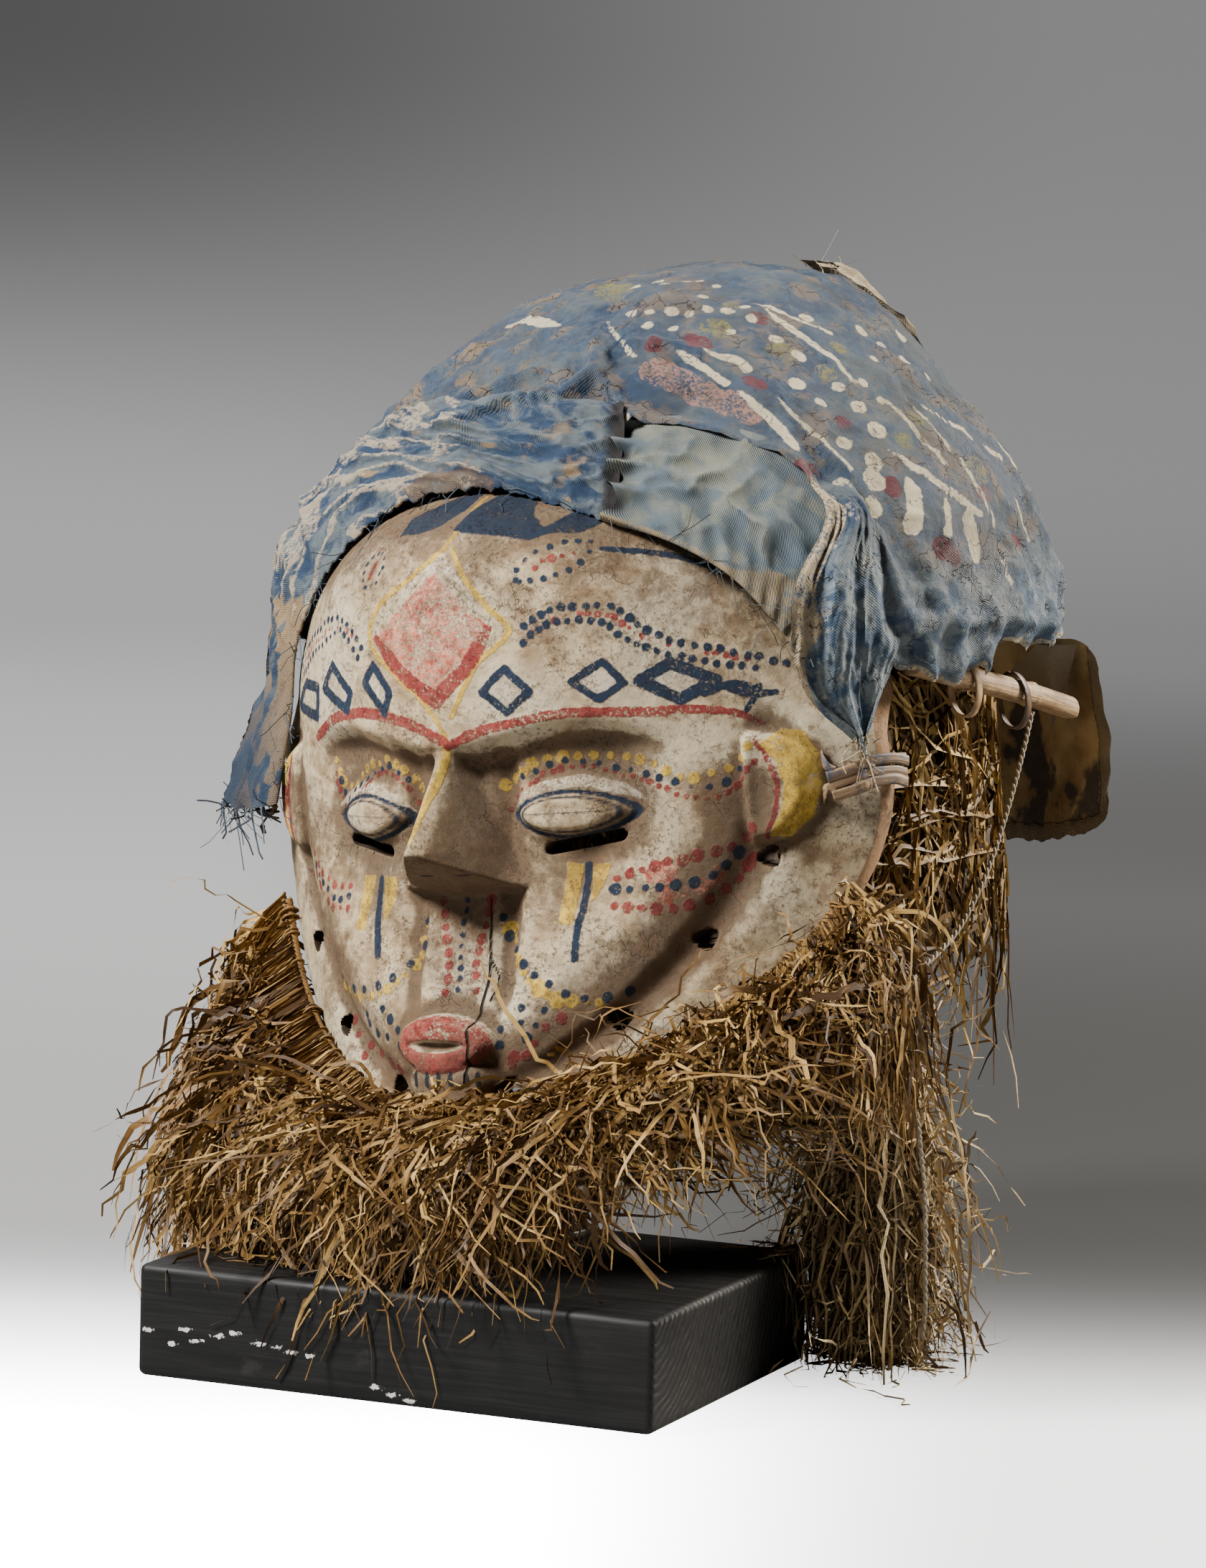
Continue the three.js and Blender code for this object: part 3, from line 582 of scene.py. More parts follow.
def face_depth(x, z):
    depth = plain_depth(x, z)
    lid = 1 - np.hypot((np.abs(x) - EYE_X) / EYE_LONG * 0.88, (z - EYE_Z - 2) / 13.5)
    lens = 1 - eye_ring(x, z)
    depth = depth - 4.6 * smooth(lid * 1.7) - 2.0 * smooth(lens * 2.2) + 1.0 * np.exp(-((lens / 0.09) ** 2))
    down = (NOSE_TOP - z) / (NOSE_TOP - NOSE_TIP)
    half = NOSE_NARROW + NOSE_FLARE * np.maximum(0, down / 1.3) ** 1.3
    ridge = mix(12, NOSE_OUT, np.clip(down, 0, 1))
    flank = ridge + (depth - ridge) * np.minimum(1, np.abs(x) / half) ** 1.4
    below = NOSE_OUT + (NOSE_TIP - z) * 29 / 15
    nose = np.minimum(depth, np.maximum(flank, below))
    depth = np.where((down > -0.15) & (np.abs(x) < half), nose, depth)
    lips = np.hypot((x - MOUTH_X) / MOUTH_LONG, (z - MOUTH_Z) / MOUTH_HIGH)
    chin = np.hypot(x / 16, (z + 90) / 9)
    depth = mix(depth, -2.6, 1 - smooth((np.minimum(lips, chin) - 0.8) / 0.4))
    gape = np.hypot((x - MOUTH_X) / 11.5, (z - MOUTH_Z) / (1.6 + 0.8 * (z < MOUTH_Z)))
    depth = depth + 3.0 * (1 - smooth(gape - 0.35)) + 0.8 * np.exp(-(((lips - 1.02) / 0.1) ** 2))
    lobe = np.hypot((np.abs(x) - EAR_X) / 18, (z - EAR_Z) / 20)
    crescent = (1 - smooth((lobe - 0.75) / 0.3)) * smooth((np.abs(x) - EAR_X + 3) / 4)
    return depth - np.where(np.abs(x) > EAR_X - 3, 7 * crescent, 0)


def face_y(x, z):
    carved = 0.35 * ripple(np.stack([x, z], axis=-1), 26, 3, 2) + 0.16 * ripple(
        np.stack([x, z], axis=-1), 7, 5, 2
    )
    return section_y(x) + face_depth(x, z) + carved


def back_y(x, z):
    base = section_y(x) + plain_depth(x, z)
    dx = (section_y(x + 2) + plain_depth(x + 2, z) - section_y(x - 2) - plain_depth(x - 2, z)) / 4
    dz = (plain_depth(x, z + 2) - plain_depth(x, z - 2)) / 4
    inward = np.minimum.reduce([1 - np.abs(x) / (rim_half(z) + 1), (z + RIM_DOWN) / 60, (RIM_UP - z) / 60])
    thick = mix(WALL_RIM, WALL_MIDDLE, smooth(inward * 3.5)) * np.sqrt(1 + dx**2 + dz**2)
    return base + np.minimum(WALL_MOST, thick) + 0.5 * ripple(np.stack([x, z], axis=-1), 15, 9, 2)


def face_layer(across_count, up_count, depth_y):
    """A grid over the face with its holes left open: points, faces and the grid's outer edge."""
    z, side = np.meshgrid(
        np.linspace(-RIM_DOWN + 0.7, RIM_UP - 0.8, up_count), np.linspace(-1, 1, across_count),
        indexing="ij"
    )
    x = rim_half(z) * side
    gap = opening(x, z)
    dx, dz = (opening(x + 0.1, z) - gap) / 0.1, (opening(x, z + 0.1) - gap) / 0.1
    near = (np.abs(gap) < 0.62 * 2 * RIM_HALF / across_count) * gap / np.maximum(0.3, np.hypot(dx, dz))
    x, z = x - near * dx, z - near * dz
    points = xyz(x, depth_y(x, z), z).reshape(-1, 3)
    i, j = np.meshgrid(np.arange(across_count - 1), np.arange(up_count - 1))
    quads = (j * across_count + i)[..., None] + np.array([0, 1, across_count + 1, across_count])
    quads = quads.reshape(-1, 4)
    centre = points[quads].mean(axis=1)
    return points, quads[opening(centre[:, 0], centre[:, 2]) > -0.1]


def open_edges(faces):
    """The directed edges that only one face uses."""
    edges = np.concatenate([faces[:, [k, (k + 1) % faces.shape[1]]] for k in range(faces.shape[1])])
    keys = {tuple(edge) for edge in edges.tolist()}
    return np.array([edge for edge in keys if edge[::-1] not in keys])


front, front_faces = face_layer(300, 264, face_y)
rear, rear_faces = face_layer(110, 100, back_y)
edges = open_edges(front_faces)
in_hole = opening(front[edges[:, 0], 0], front[edges[:, 0], 2]) < 0.4
hole_edges, rim_edges = edges[in_hole], edges[~in_hole]
face_points, face_faces = [front, rear], front_faces.tolist() + (rear_faces[:, ::-1] + len(front)).tolist()
EDGE_STEPS = (0.06, 0.35, 0.75, 1.0)
for group_edges, bulge in ((hole_edges, 0.0), (rim_edges, 0.9)):
    start = np.unique(group_edges)
    row_of = {v: k for k, v in enumerate(start.tolist())}
    near_points = front[start]
    outward = unit(near_points * [1, 0, 1])
    previous = start
    for share in EDGE_STEPS:
        ring = near_points.copy()
        ring[:, 1] = mix(near_points[:, 1], back_y(near_points[:, 0], near_points[:, 2]), share)
        ring += outward * bulge * (math.sin(math.pi * share) + 0.15)
        first = sum(len(p) for p in face_points)
        face_points.append(ring)
        current = first + np.arange(len(start))
        for a, b in group_edges.tolist():
            k, m = row_of[a], row_of[b]
            face_faces.append([int(previous[m]), int(previous[k]), int(current[k]), int(current[m])])
        previous = current
face_points = np.vstack(face_points)


# The painted marks, as (x, z) on the face. Each mark is a distance in millimetres, positive inside.
FAR = -5.0
paint = {
    key: np.full(len(face_points), FAR)
    for key in ("blue", "red", "pink", "yellow", "white", "dark", "crack")
}
random = np.random.default_rng(11)


def on_face(points):
    p = np.asarray(points, float)
    return xyz(p[:, 0], face_y(p[:, 0], p[:, 1]), p[:, 1])


def dab(layer, centres, radius, where, jitter=0.0):
    """Adds round dabs at 3-D centres to a layer of distances."""
    centres = np.asarray(centres, float)
    reach = radius * (1 + jitter) + 1.5
    low, high = centres.min(axis=0) - reach, centres.max(axis=0) + reach
    close = np.flatnonzero(((where > low) & (where < high)).all(axis=1))
    for centre in centres:
        size = radius * (1 + jitter * random.uniform(-1, 1))
        layer[close] = np.maximum(layer[close], size - np.linalg.norm(where[close] - centre, axis=1))


def stroke(layer, line, half, where, ends=(1.0, 1.0)):
    """Adds a brush stroke along a dense 3-D line, tapered to shares of its width at its ends."""
    taper = half * np.interp(np.linspace(0, 1, len(line)), [0, 0.25, 0.75, 1], [ends[0], 1, 1, ends[1]])
    low, high = line.min(axis=0) - half - 1.5, line.max(axis=0) + half + 1.5
    close = np.flatnonzero(((where > low) & (where < high)).all(axis=1))
    for point, size in zip(line, taper):
        layer[close] = np.maximum(layer[close], size - np.linalg.norm(where[close] - point, axis=1))


def fill(layer, corners, flat):
    """Adds a filled shape with these corners in the plane of flat."""
    corners = np.asarray(corners, float)
    inside, distance = np.zeros(len(flat), bool), np.full(len(flat), -FAR)
    for a, b in zip(corners, np.roll(corners, -1, axis=0)):
        run = b - a
        share = np.clip(((flat - a) @ run) / (run @ run), 0, 1)
        distance = np.minimum(distance, np.linalg.norm(flat - a - share[:, None] * run, axis=1))
        crosses = (a[1] > flat[:, 1]) != (b[1] > flat[:, 1])
        with np.errstate(divide="ignore", invalid="ignore"):
            inside ^= crosses & (flat[:, 0] < run[0] * (flat[:, 1] - a[1]) / run[1] + a[0])
    np.maximum(layer, np.where(inside, distance, -distance), out=layer)


def face_row(colour, points, count, radius, jitter=0.15):
    dab(
        paint[colour], on_face(spline(points, count, even=True)) + random.normal(0, 0.25, (count, 3)),
        radius, front_all, jitter
    )


def face_line(colour, points, half, ends=(0.8, 0.8)):
    path = spline(points, 2 + int(2.2 * np.ptp(np.asarray(points), axis=0).sum()), even=True)
    stroke(paint[colour], on_face(path), half, front_all, ends)


front_all = face_points.copy()
front_all[len(front):, 1] += 1000
at_x, at_z, on_front = front_all[:, 0], front_all[:, 2], front_all[:, 1] < 500
flat = front_all[:, [0, 2]] + ~on_front[:, None] * 1000

# Forehead: the blue points of the hairline, the yellow lozenge outline round the red one, small
# dotted rings and the double row of dots over the brow
for corners in (
    [
        (2, 92.5), (3, 98), (9, 106), (19, 107), (26, 97), (33, 92), (38, 97), (49, 93), (44, 89.5),
        (36, 90), (30, 88), (20, 90), (11, 91)
    ],
    [(0, 106), (-10, 103), (-23, 97), (-22, 91.5), (-12, 92), (-5, 94), (1, 99)]
):
    fill(paint["blue"], corners, flat)
face_line("blue", [(52, 84), (69, 80.5), (81, 75)], 1.3)
YELLOW_LEFT = [
    (3, 103), (4, 95), (2, 87), (-8, 79), (-26, 67), (-29, 57), (-18, 46), (-6, 37), (1, 29), (3, 24)
]
YELLOW_RIGHT = [(5, 87), (12, 77), (20, 68), (28, 59), (25, 55), (17, 49), (12, 42), (6, 31)]
for points in (YELLOW_LEFT, YELLOW_RIGHT):
    face_line("yellow", points, 1.1)
fill(paint["pink"], [(-26, 58), (0, 79), (22, 60), (0, 36)], flat)
fill(paint["white"], [(2, 86), (-12, 73), (3, 80), (16, 70)], flat)
for points in ([(-26, 58), (-14, 46), (0, 37)], [(21, 60), (13, 48), (0, 37)]):
    face_line("red", points, 2.6, (0.5, 1.2))
RING_RIGHT = [(30, 75), (30, 80), (36, 85), (43, 87), (49, 86), (49, 81), (43, 77), (36, 75), (31, 75)]
RING_LEFT = [(-33, 75), (-35, 80), (-32, 85), (-27, 86), (-25, 81), (-28, 76), (-32, 75)]
face_row("blue", RING_RIGHT, 15, 1.25)
face_row("blue", RING_LEFT, 13, 0.95)
face_row("red", [(35, 79), (39, 81.5), (45, 83)], 5, 1.3, 0.4)
face_line("red", [(-31, 78), (-29, 83)], 1.0)
DOTS_UPPER = [(33, 60), (41, 65), (50, 65.5), (59, 64), (66, 58), (74, 52.5), (82, 50), (90, 47), (101, 42)]
DOTS_LOWER = [(33, 55), (40, 60), (48, 61), (55, 60), (61, 55), (69, 50), (77, 47), (85, 44), (94, 42)]
face_row("blue", DOTS_UPPER, 24, 1.55)
face_row("blue", DOTS_LOWER, 23, 1.5)
face_row("blue", [(-97, 47), (-74, 58), (-58, 64), (-46, 64), (-39, 60), (-34, 55)], 19, 1.35)
face_row("blue", [(-90, 43), (-73, 52), (-57, 58), (-48, 60.5), (-41, 57), (-36, 52)], 17, 1.35)
face_row("red", [(36, 58), (48, 63), (58, 62), (66, 55), (78, 49.5), (92, 45)], 26, 0.95, 0.5)
face_row("red", [(-92, 46), (-73, 55), (-57, 61), (-46, 62), (-40, 59)], 17, 1.0, 0.4)

# Lozenges along the brow, the last one on the right drawn out into a forked tail
for corners, half in (
    ([(18, 39), (26, 46.5), (34, 38.5), (26, 32)], 1.5),
    ([(47, 41), (56, 47), (61.5, 39.5), (54.5, 34.5)], 1.4),
    ([(65.5, 40), (74, 45), (85, 38.5), (76, 33)], 2.1),
    ([(-33, 43), (-28, 49), (-20.5, 40), (-23.5, 33)], 1.6),
    ([(-62, 41), (-54, 49), (-42, 39.5), (-45, 34)], 1.9),
    ([(-94, 34), (-83, 42), (-68, 41), (-70, 31)], 2.0)
):
    for a, b in zip(corners, corners[1:] + corners[:1]):
        face_line("blue", [a, b], half, (1, 1))
    fill(paint["white"], [(a[0], a[1]) for a in corners], flat)
for points, half in (
    ([(84, 38), (92, 33.5), (99, 33)], 1.3), ([(82, 34), (89, 37), (95, 34.5)], 1.3),
    ([(95, 36), (93, 30), (92, 28)], 1.2)
):
    face_line("blue", points, half)
BROW_RIGHT = [
    (3.5, 21), (14, 25.5), (28, 28.3), (43, 30.5), (57, 30.3), (68, 29.5), (79, 29.5), (90, 27), (95, 23)
]
BROW_LEFT = [(2.5, 23), (-9, 28), (-20, 31), (-34, 33), (-54, 31), (-72, 24)]
face_line("red", BROW_RIGHT, 1.7, (1, 0.6))
face_line("red", BROW_LEFT, 1.9, (1, 0.8))

# Nose: a yellow line down its ridge and two short dark dashes on its base
face_line("yellow", [(3, 25), (2, 16), (1.5, 8), (0, 0), (-1, -9)], 1.7)
for x in (-3.5, 10):
    face_line("dark", [(x - 2.5, -21 - abs(x) * 0.05), (x + 2.5, -21.3)], 0.9)

# Eyes: a blue outline round a cream lens with a dark line, white lids, and rows of red, blue and
# yellow dabs over them
ring = eye_ring(at_x, at_z)
eye_blue = np.where(on_front, 0.75 - np.abs(ring - 1.0) * 7.5, FAR)
paint["blue"] = np.maximum(paint["blue"], np.maximum(eye_blue, FAR))
eye_dark = np.maximum(
    0.35 - np.abs(ring - 0.78) * 6, 0.3 - np.abs(at_z - EYE_Z - 0.5) - np.maximum(0, ring - 0.75) * 9
)
paint["dark"] = np.where(on_front, np.maximum(paint["dark"], eye_dark), paint["dark"])
for corners in (
    [(19, -3), (24, 4), (32, 8), (45, 10), (57, 6), (66, -1), (58, 2), (45, 6), (33, 4), (24, -1)],
    [(-18, -3), (-25, 4), (-34, 8), (-46, 9), (-57, 5), (-64, 0), (-57, 1), (-45, 5), (-33, 4), (-25, -1)]
):
    fill(paint["white"], corners, flat)
RED_ARC = [(18, -1), (25, 6), (35, 11), (45, 12.5), (56, 9.5), (67, 5), (75, 1), (83, -1), (89, 3), (95, 11)]
BLUE_ARC = [(25, 10), (40, 14.5), (51, 12.5), (62, 9.5), (73, 6), (80, 3.5), (86, 4), (90, 9)]
YELLOW_ARC = [
    (17, 7), (28, 13), (38, 16), (49, 15.5), (58, 14.5), (66, 12), (76, 7), (82, 7.5), (88, 9), (94, 16)
]
for sign in (1, -1):
    far = 1 if sign > 0 else 0.78
    for colour, arc, count, radius in (
        ("red", RED_ARC, 30, 1.25), ("blue", BLUE_ARC, 15, 1.4), ("yellow", YELLOW_ARC, 19, 1.9)
    ):
        face_row(
            colour, [(sign * (x if sign > 0 else 18 + (x - 18) * 0.6), z) for x, z in arc],
            int(count * far), radius * (0.9 if sign < 0 else 1), 0.3
        )

# Cheeks: a blue stripe between yellow ones, bands of red and blue dots to the ears, arcs below
face_line("blue", [(44.5, -20), (44, -33), (43, -40), (43, -51)], 1.35, (0.9, 1))
face_line("blue", [(-39, -24), (-39, -36), (-36.5, -49)], 1.7, (0.9, 1))
for corners in (
    [(38, -19), (43, -20), (41, -40), (36, -39)], [(46, -20), (52, -20), (50, -27), (46, -34)],
    [(-48.5, -23), (-42.5, -23), (-45, -41), (-50, -41)], [(-37, -23), (-29, -23), (-31, -32), (-36, -39)]
):
    fill(paint["yellow"], corners, flat)
face_row("blue", [(54, -29), (61, -29), (74, -28), (80, -27), (86, -22), (88, -19)], 9, 1.9, 0.3)
face_row("red", [(54, -25), (64, -22.5), (74, -19.5), (80, -19), (86, -17), (93, -11)], 11, 1.9, 0.3)
face_row("red", [(54, -34), (63, -35), (72, -36), (79, -34), (84, -31), (88, -26), (91, -20)], 11, 2.0, 0.3)
face_row("pink", [(66, -25), (72, -24), (70, -31), (77, -30), (83, -26)], 7, 2.6, 0.3)
for colour, rise in (("blue", 0), ("red", 3.6), ("red", -3.6)):
    face_row(
        colour,
        [(-56, -30 + rise), (-62, -31 + rise), (-68, -29 + rise), (-75, -25 + rise), (-80, -20 + rise)],
        7, 1.5, 0.25
    )
face_row(
    "blue",
    [(15, -37), (18, -44), (23, -50), (28, -54), (34, -58), (40, -61.5), (46, -64), (52, -64), (58, -62)],
    10, 1.7, 0.25
)
face_row("yellow", [(18, -41), (26, -55), (38, -63.5), (50, -66)], 12, 2.2, 0.5)
face_row(
    "blue",
    [(-17, -38), (-17, -47), (-21, -51), (-26, -55.5), (-34, -59), (-42, -60.5), (-53, -61), (-66, -58)],
    9, 1.55, 0.25
)
face_row("yellow", [(-17, -40), (-19, -51), (-30, -60), (-45, -63), (-64, -61)], 15, 1.7, 0.4)
face_row("red", [(-9, -31), (-8, -36), (-6.5, -42), (-5, -49), (-4, -56), (-4.5, -61)], 8, 1.9, 0.2)
face_row("blue", [(0.5, -31), (0, -38), (0, -46), (1, -53), (1, -60)], 9, 1.2, 0.2)
face_row("red", [(10.5, -31), (9, -38), (8, -45), (7, -50), (8, -60)], 8, 1.8, 0.3)

# Mouth and chin: red lips, dark ticks under them, and loose groups of dabs at both sides
lips = np.hypot((at_x - MOUTH_X) / MOUTH_LONG, (at_z - MOUTH_Z) / MOUTH_HIGH)
gape = np.hypot((at_x - MOUTH_X) / 11.5, (at_z - MOUTH_Z + 0.2) / 2.3)
paint["lip"] = np.where(on_front, np.minimum((1.0 - lips) * 11, (gape - 1.0) * 5), FAR)
for x in (-10.5, -5, 0, 4.5, 10, 13.5):
    face_line("dark", [(x - 0.3, -86.5), (x + 0.2, -90.5)], 0.95, (0.7, 1))
for colour, dabs, radius in (
    (
        "blue",
        [
            (-42, -69), (-41, -72), (-32, -66.5), (-28, -70), (-36, -75), (-30, -76), (-24, -73.5),
            (-23, -78.5)
        ],
        1.6
    ),
    ("red", [(-53, -77), (-45, -80), (-38, -82), (-31, -85), (-48, -84), (-56, -72), (-26, -87)], 2.0),
    ("blue", [(19, -73), (19, -78), (26, -66), (26, -71), (31, -72), (28, -76), (34, -67)], 1.6),
    ("red", [(39, -70), (34, -73), (30, -78), (23, -82), (27, -82), (22, -84.5)], 1.8),
):
    dab(paint[colour], on_face(dabs), radius, front_all, 0.25)

# Ears and rim: yellow crescents edged with red, raw wood along the rim, and the crack in the chin
for sign in (1, -1):
    crescent = [
        (96, 16), (100, 21), (106, 20), (110, 12), (111, 2), (108, -9), (102, -15), (98, -14), (102, -6),
        (103, 3), (101, 11)
    ]
    fill(paint["yellow"], [(sign * x, z) for x, z in crescent], flat)
    face_line("red", [(sign * x, z) for x, z in ((95, 19), (99, 11), (101, 3), (100, -6), (97, -15))], 0.95)
face_line("red", [(-104, 4), (-106, -4), (-103, -12)], 3.2)
face_line("crack", [(10, -27), (11.5, -42), (13, -56), (11, -66), (11.5, -78), (9.5, -90)], 0.3, (0.4, 1))
face_line("crack", [(12.5, -49), (16, -57), (14, -64)], 0.2)
for key in paint:
    paint[key] = np.where(on_front, paint[key], FAR)
edge_wood = np.zeros(len(face_points))
edge_wood[len(front):] = 1.0
rim_gap = np.hypot(
    face_points[:, 0] / RIM_HALF, face_points[:, 2] / np.where(face_points[:, 2] < 0, RIM_DOWN, RIM_UP)
)
inside = edge_wood * smooth((0.97 - rim_gap) / 0.05)
# Painted shade with some patina: darker under the brow, in the groove round the cheeks, more on the right,
# on the right side of the nose and under it
hollow = np.clip((front_all[:, 1] - section_y(at_x) - forehead_depth(at_x, np.minimum(at_z, 30))) / 14, 0, 1)
from_cheek = cheek_edge(at_x, at_z)
groove = smooth((from_cheek - 0.72) / 0.2) * smooth((1.14 - from_cheek) / 0.14) * smooth(
    (14 - at_z) / 8
) * np.where(at_x > 0, 1.3, 0.8)
nose_side = smooth((at_x - 2) / 5) * smooth((24 - at_x) / 5) * smooth((at_z + 30) / 3) * smooth(
    (17 - at_z) / 12
)
nose_base = smooth((-12 - at_z) / 3) * smooth((at_z + 30) / 3) * smooth((20 - np.abs(at_x)) / 4)
shade_and_patina = np.where(on_front, np.clip(hollow + groove + 1.3 * np.maximum(nose_side, nose_base), 0, 1.6), 0)

# Painted shade: how deep each point lies in a hollow of the carving, to darken the hollows
cavity = np.zeros(len(front_all))
for reach in (5.0, 11.0):
    around = [
        face_y(at_x + reach * math.cos(a), at_z + reach * math.sin(a)) for a in np.arange(8) * math.pi / 4
    ]
    cavity += (face_y(at_x, at_z) - np.mean(around, axis=0)) / reach
cavity = np.where(on_front, np.clip(cavity * 1.6, -1, 1), 0)

s = Shader("painted_wood")
place = s.mark("place", "Vector")
chalk = s.mix(s.ramp(s.noise(place, 9.0, 5, 0.65), 0.35, 0.65), (0.27, 0.185, 0.1), (0.54, 0.43, 0.268))
chalk = s.mix(s.ramp(s.noise(place, 40.0, 3), 0.42, 0.62), chalk, (0.52, 0.44, 0.3))
# Painted shade with some patina: the hollows and the shade marks raise the soil and darken the wood and its
# paint
deep = s.plus(s.math("MAXIMUM", s.mark("cavity"), 0.0), s.times(s.mark("shade_and_patina"), 0.5))
soil_and_shade = s.use(soil, Place=place, Amount=s.plus(0.36, deep))
colour = s.mix(s.times(soil_and_shade, 0.85), chalk, (0.1, 0.06, 0.032))
colour = s.over(colour, (0.075, 0.045, 0.025), s.math("MINIMUM", deep, 1.0), 0.62)
scratches = s.noise(s.scaled(place, (0.5, 1.0, 1.0)), 5.0, 8, 0.8)
colour = s.over(colour, (0.15, 0.088, 0.047), s.ramp(scratches, 0.53, 0.62), 0.75)
hairlines = s.ramp(s.cracks(place, 13.0, 0.7), 0.0, 0.012, 1.0, 0.0)
hairlines = s.times(hairlines, s.ramp(s.noise(place, 17.0, 2), 0.5, 0.6))
colour = s.over(colour, (0.05, 0.03, 0.02), hairlines, 0.7)
pits = s.times(
    s.ramp(s.noise(place, 1.7, 6, 0.8), 0.53, 0.64),
    s.ramp(s.noise(place, 19.0, 4, 0.6), 0.4, 0.6, 0.25, 1.0)
)
colour = s.over(colour, (0.13, 0.08, 0.045), pits, 0.75)
COATS = (
    ("white", 0.4, 1.5, (0.58, 0.5, 0.38), (0.46, 0.36, 0.24)),
    ("yellow", 0.36, 1.6, (0.62, 0.41, 0.06), (0.42, 0.26, 0.045)),
    ("pink", 0.43, 2.2, (0.62, 0.3, 0.2), (0.42, 0.07, 0.045)),
    ("red", 0.39, 1.8, (0.27, 0.045, 0.036), (0.18, 0.026, 0.022)),
    ("lip", 0.4, 1.8, (0.2, 0.024, 0.02), (0.34, 0.09, 0.065)),
    ("blue", 0.35, 1.4, (0.007, 0.014, 0.032), (0.015, 0.028, 0.054)),
    ("dark", 0.2, 0.5, (0.01, 0.016, 0.03), (0.02, 0.018, 0.018))
)
coat_tone = s.ramp(s.noise(place, 4.0, 6, 0.7), 0.38, 0.62)
thickness = 0.0
for key, wear, rough, one, other in COATS:
    mask = s.use(brush, Distance=s.mark(key), Place=place, Wear=wear, Rough=rough)
    coat_soiled_and_shaded = s.mix(
        s.times(soil_and_shade, 0.55), s.mix(coat_tone, one, other), tuple(0.3 * c + 0.004 for c in other)
    )
    colour = s.over(colour, coat_soiled_and_shaded, mask)
    thickness = s.math("MAXIMUM", thickness, mask)
crack = s.ramp(s.mark("crack"), -0.45, 0.05)
colour = s.over(colour, (0.012, 0.008, 0.005), crack)
raw = s.mix(s.noise(s.scaled(place, (1.0, 1.0, 0.2)), 1.5, 4), (0.25, 0.13, 0.06), (0.42, 0.26, 0.14))
colour = s.over(
    colour, s.mix(s.math("MAXIMUM", soil_and_shade, s.mark("inside")), raw, (0.045, 0.027, 0.015)),
    s.mark("edge_wood")
)
relief = s.plus(s.times(s.noise(place, 3.4, 8, 0.75), 1.0), s.times(thickness, 0.25))
relief = s.minus(relief, s.times(s.plus(pits, hairlines), 0.35))
relief = s.minus(relief, s.times(crack, 2.0))
s.finish(colour, s.ramp(coat_tone, 0.3, 0.7, 0.68, 0.88), s.bump(relief, 0.9), 0.25)
piece(
    "face_carved", face_points, face_faces, s.material, "wood", "wooden_face",
    marks={**paint, "edge_wood": edge_wood, "inside": inside, "shade_and_patina": shade_and_patina, "cavity": cavity},
)


# Crown cloth: one large old cloth over the cane frame, stiff with dark blue paint that has greyed and
# cracked, with cream dots and long tapering strokes in rows and blotches of maroon and olive. It is
# pinched into folds over the brow and ends in a ruffled hem.
CROWN_RINGS = [
    (30, 130, 143, 53), (45, 131, 144, 53), (57, 131, 145, 54), (98, 121, 114, 63), (133.5, 93, 92, 68),
    (154, 71, 73, 76), (168, 49, 51, 86), (175.5, 0, 0, 98)
]
crown_curves = [spline([(ring[0], ring[k]) for ring in CROWN_RINGS], 900) for k in (1, 2, 3)]
crown_z = np.maximum.accumulate(crown_curves[0][:, 0] + np.arange(900) * 1e-6)
crown_wide, crown_deep, crown_middle = (curve[:, 1] for curve in crown_curves)
crown_run = np.concatenate([[0], np.cumsum(np.hypot(np.diff(crown_z), np.diff(crown_wide)))])


def on_crown(turn, run, lift):
    """Points over the coiffure by angle from the front and distance up its side, lifted off it."""
    def at(t, r):
        wide, deep, middle, z = (
            np.interp(r, crown_run, a) for a in (crown_wide, crown_deep, crown_middle, crown_z)
        )
        return xyz(wide * np.sin(t), middle - deep * np.cos(t), z)
    turn, run = np.broadcast_arrays(np.asarray(turn, float), np.asarray(run, float))
    level = at(turn + 0.01, run) - at(turn - 0.01, run)
    rise = at(turn, np.minimum(run + 1.5, crown_run[-1])) - at(turn, np.maximum(run - 1.5, 0))
    normal = unit(np.cross(level, rise))
    normal = np.where((run > crown_run[-1] - 0.5)[..., None], np.array([0, 0, 1.0]), normal)
    return at(turn, run) + normal * np.asarray(lift)[..., None]


def crown_points(marks, lift=3.0, count=None):
    """A curve over the coiffure through (degrees, height) marks."""
    marks = np.asarray(marks, float)
    line = np.column_stack([np.radians(marks[:, 0]), np.interp(marks[:, 1], crown_z, crown_run)])
    if count:
        line = spline(line, count, even=True)
    return on_crown(line[:, 0], line[:, 1], lift)


def grid(nu, nv):
    """u and v from 0 to 1 over nv rows of nu points, and the quads between them."""
    v, u = np.meshgrid(np.linspace(0, 1, nv), np.linspace(0, 1, nu), indexing="ij")
    i, j = np.meshgrid(np.arange(nu - 1), np.arange(nv - 1))
    quads = (j * nu + i)[..., None] + np.array([0, 1, nu + 1, nu])
    return u, v, quads.reshape(-1, 4)


def crease(points, lines):
    """How far creases stand up at points: each is a dense line with a half width and a height."""
    total = np.zeros(len(points))
    for line, width, height in lines:
        low, high = line.min(axis=0) - 3 * width, line.max(axis=0) + 3 * width
        close = np.flatnonzero(((points > low) & (points < high)).all(axis=1))
        if len(close):
            gap = np.min(np.linalg.norm(points[close, None] - line[None], axis=2), axis=1)
            total[close] += height * np.exp(-((gap / width) ** 2))
    return total


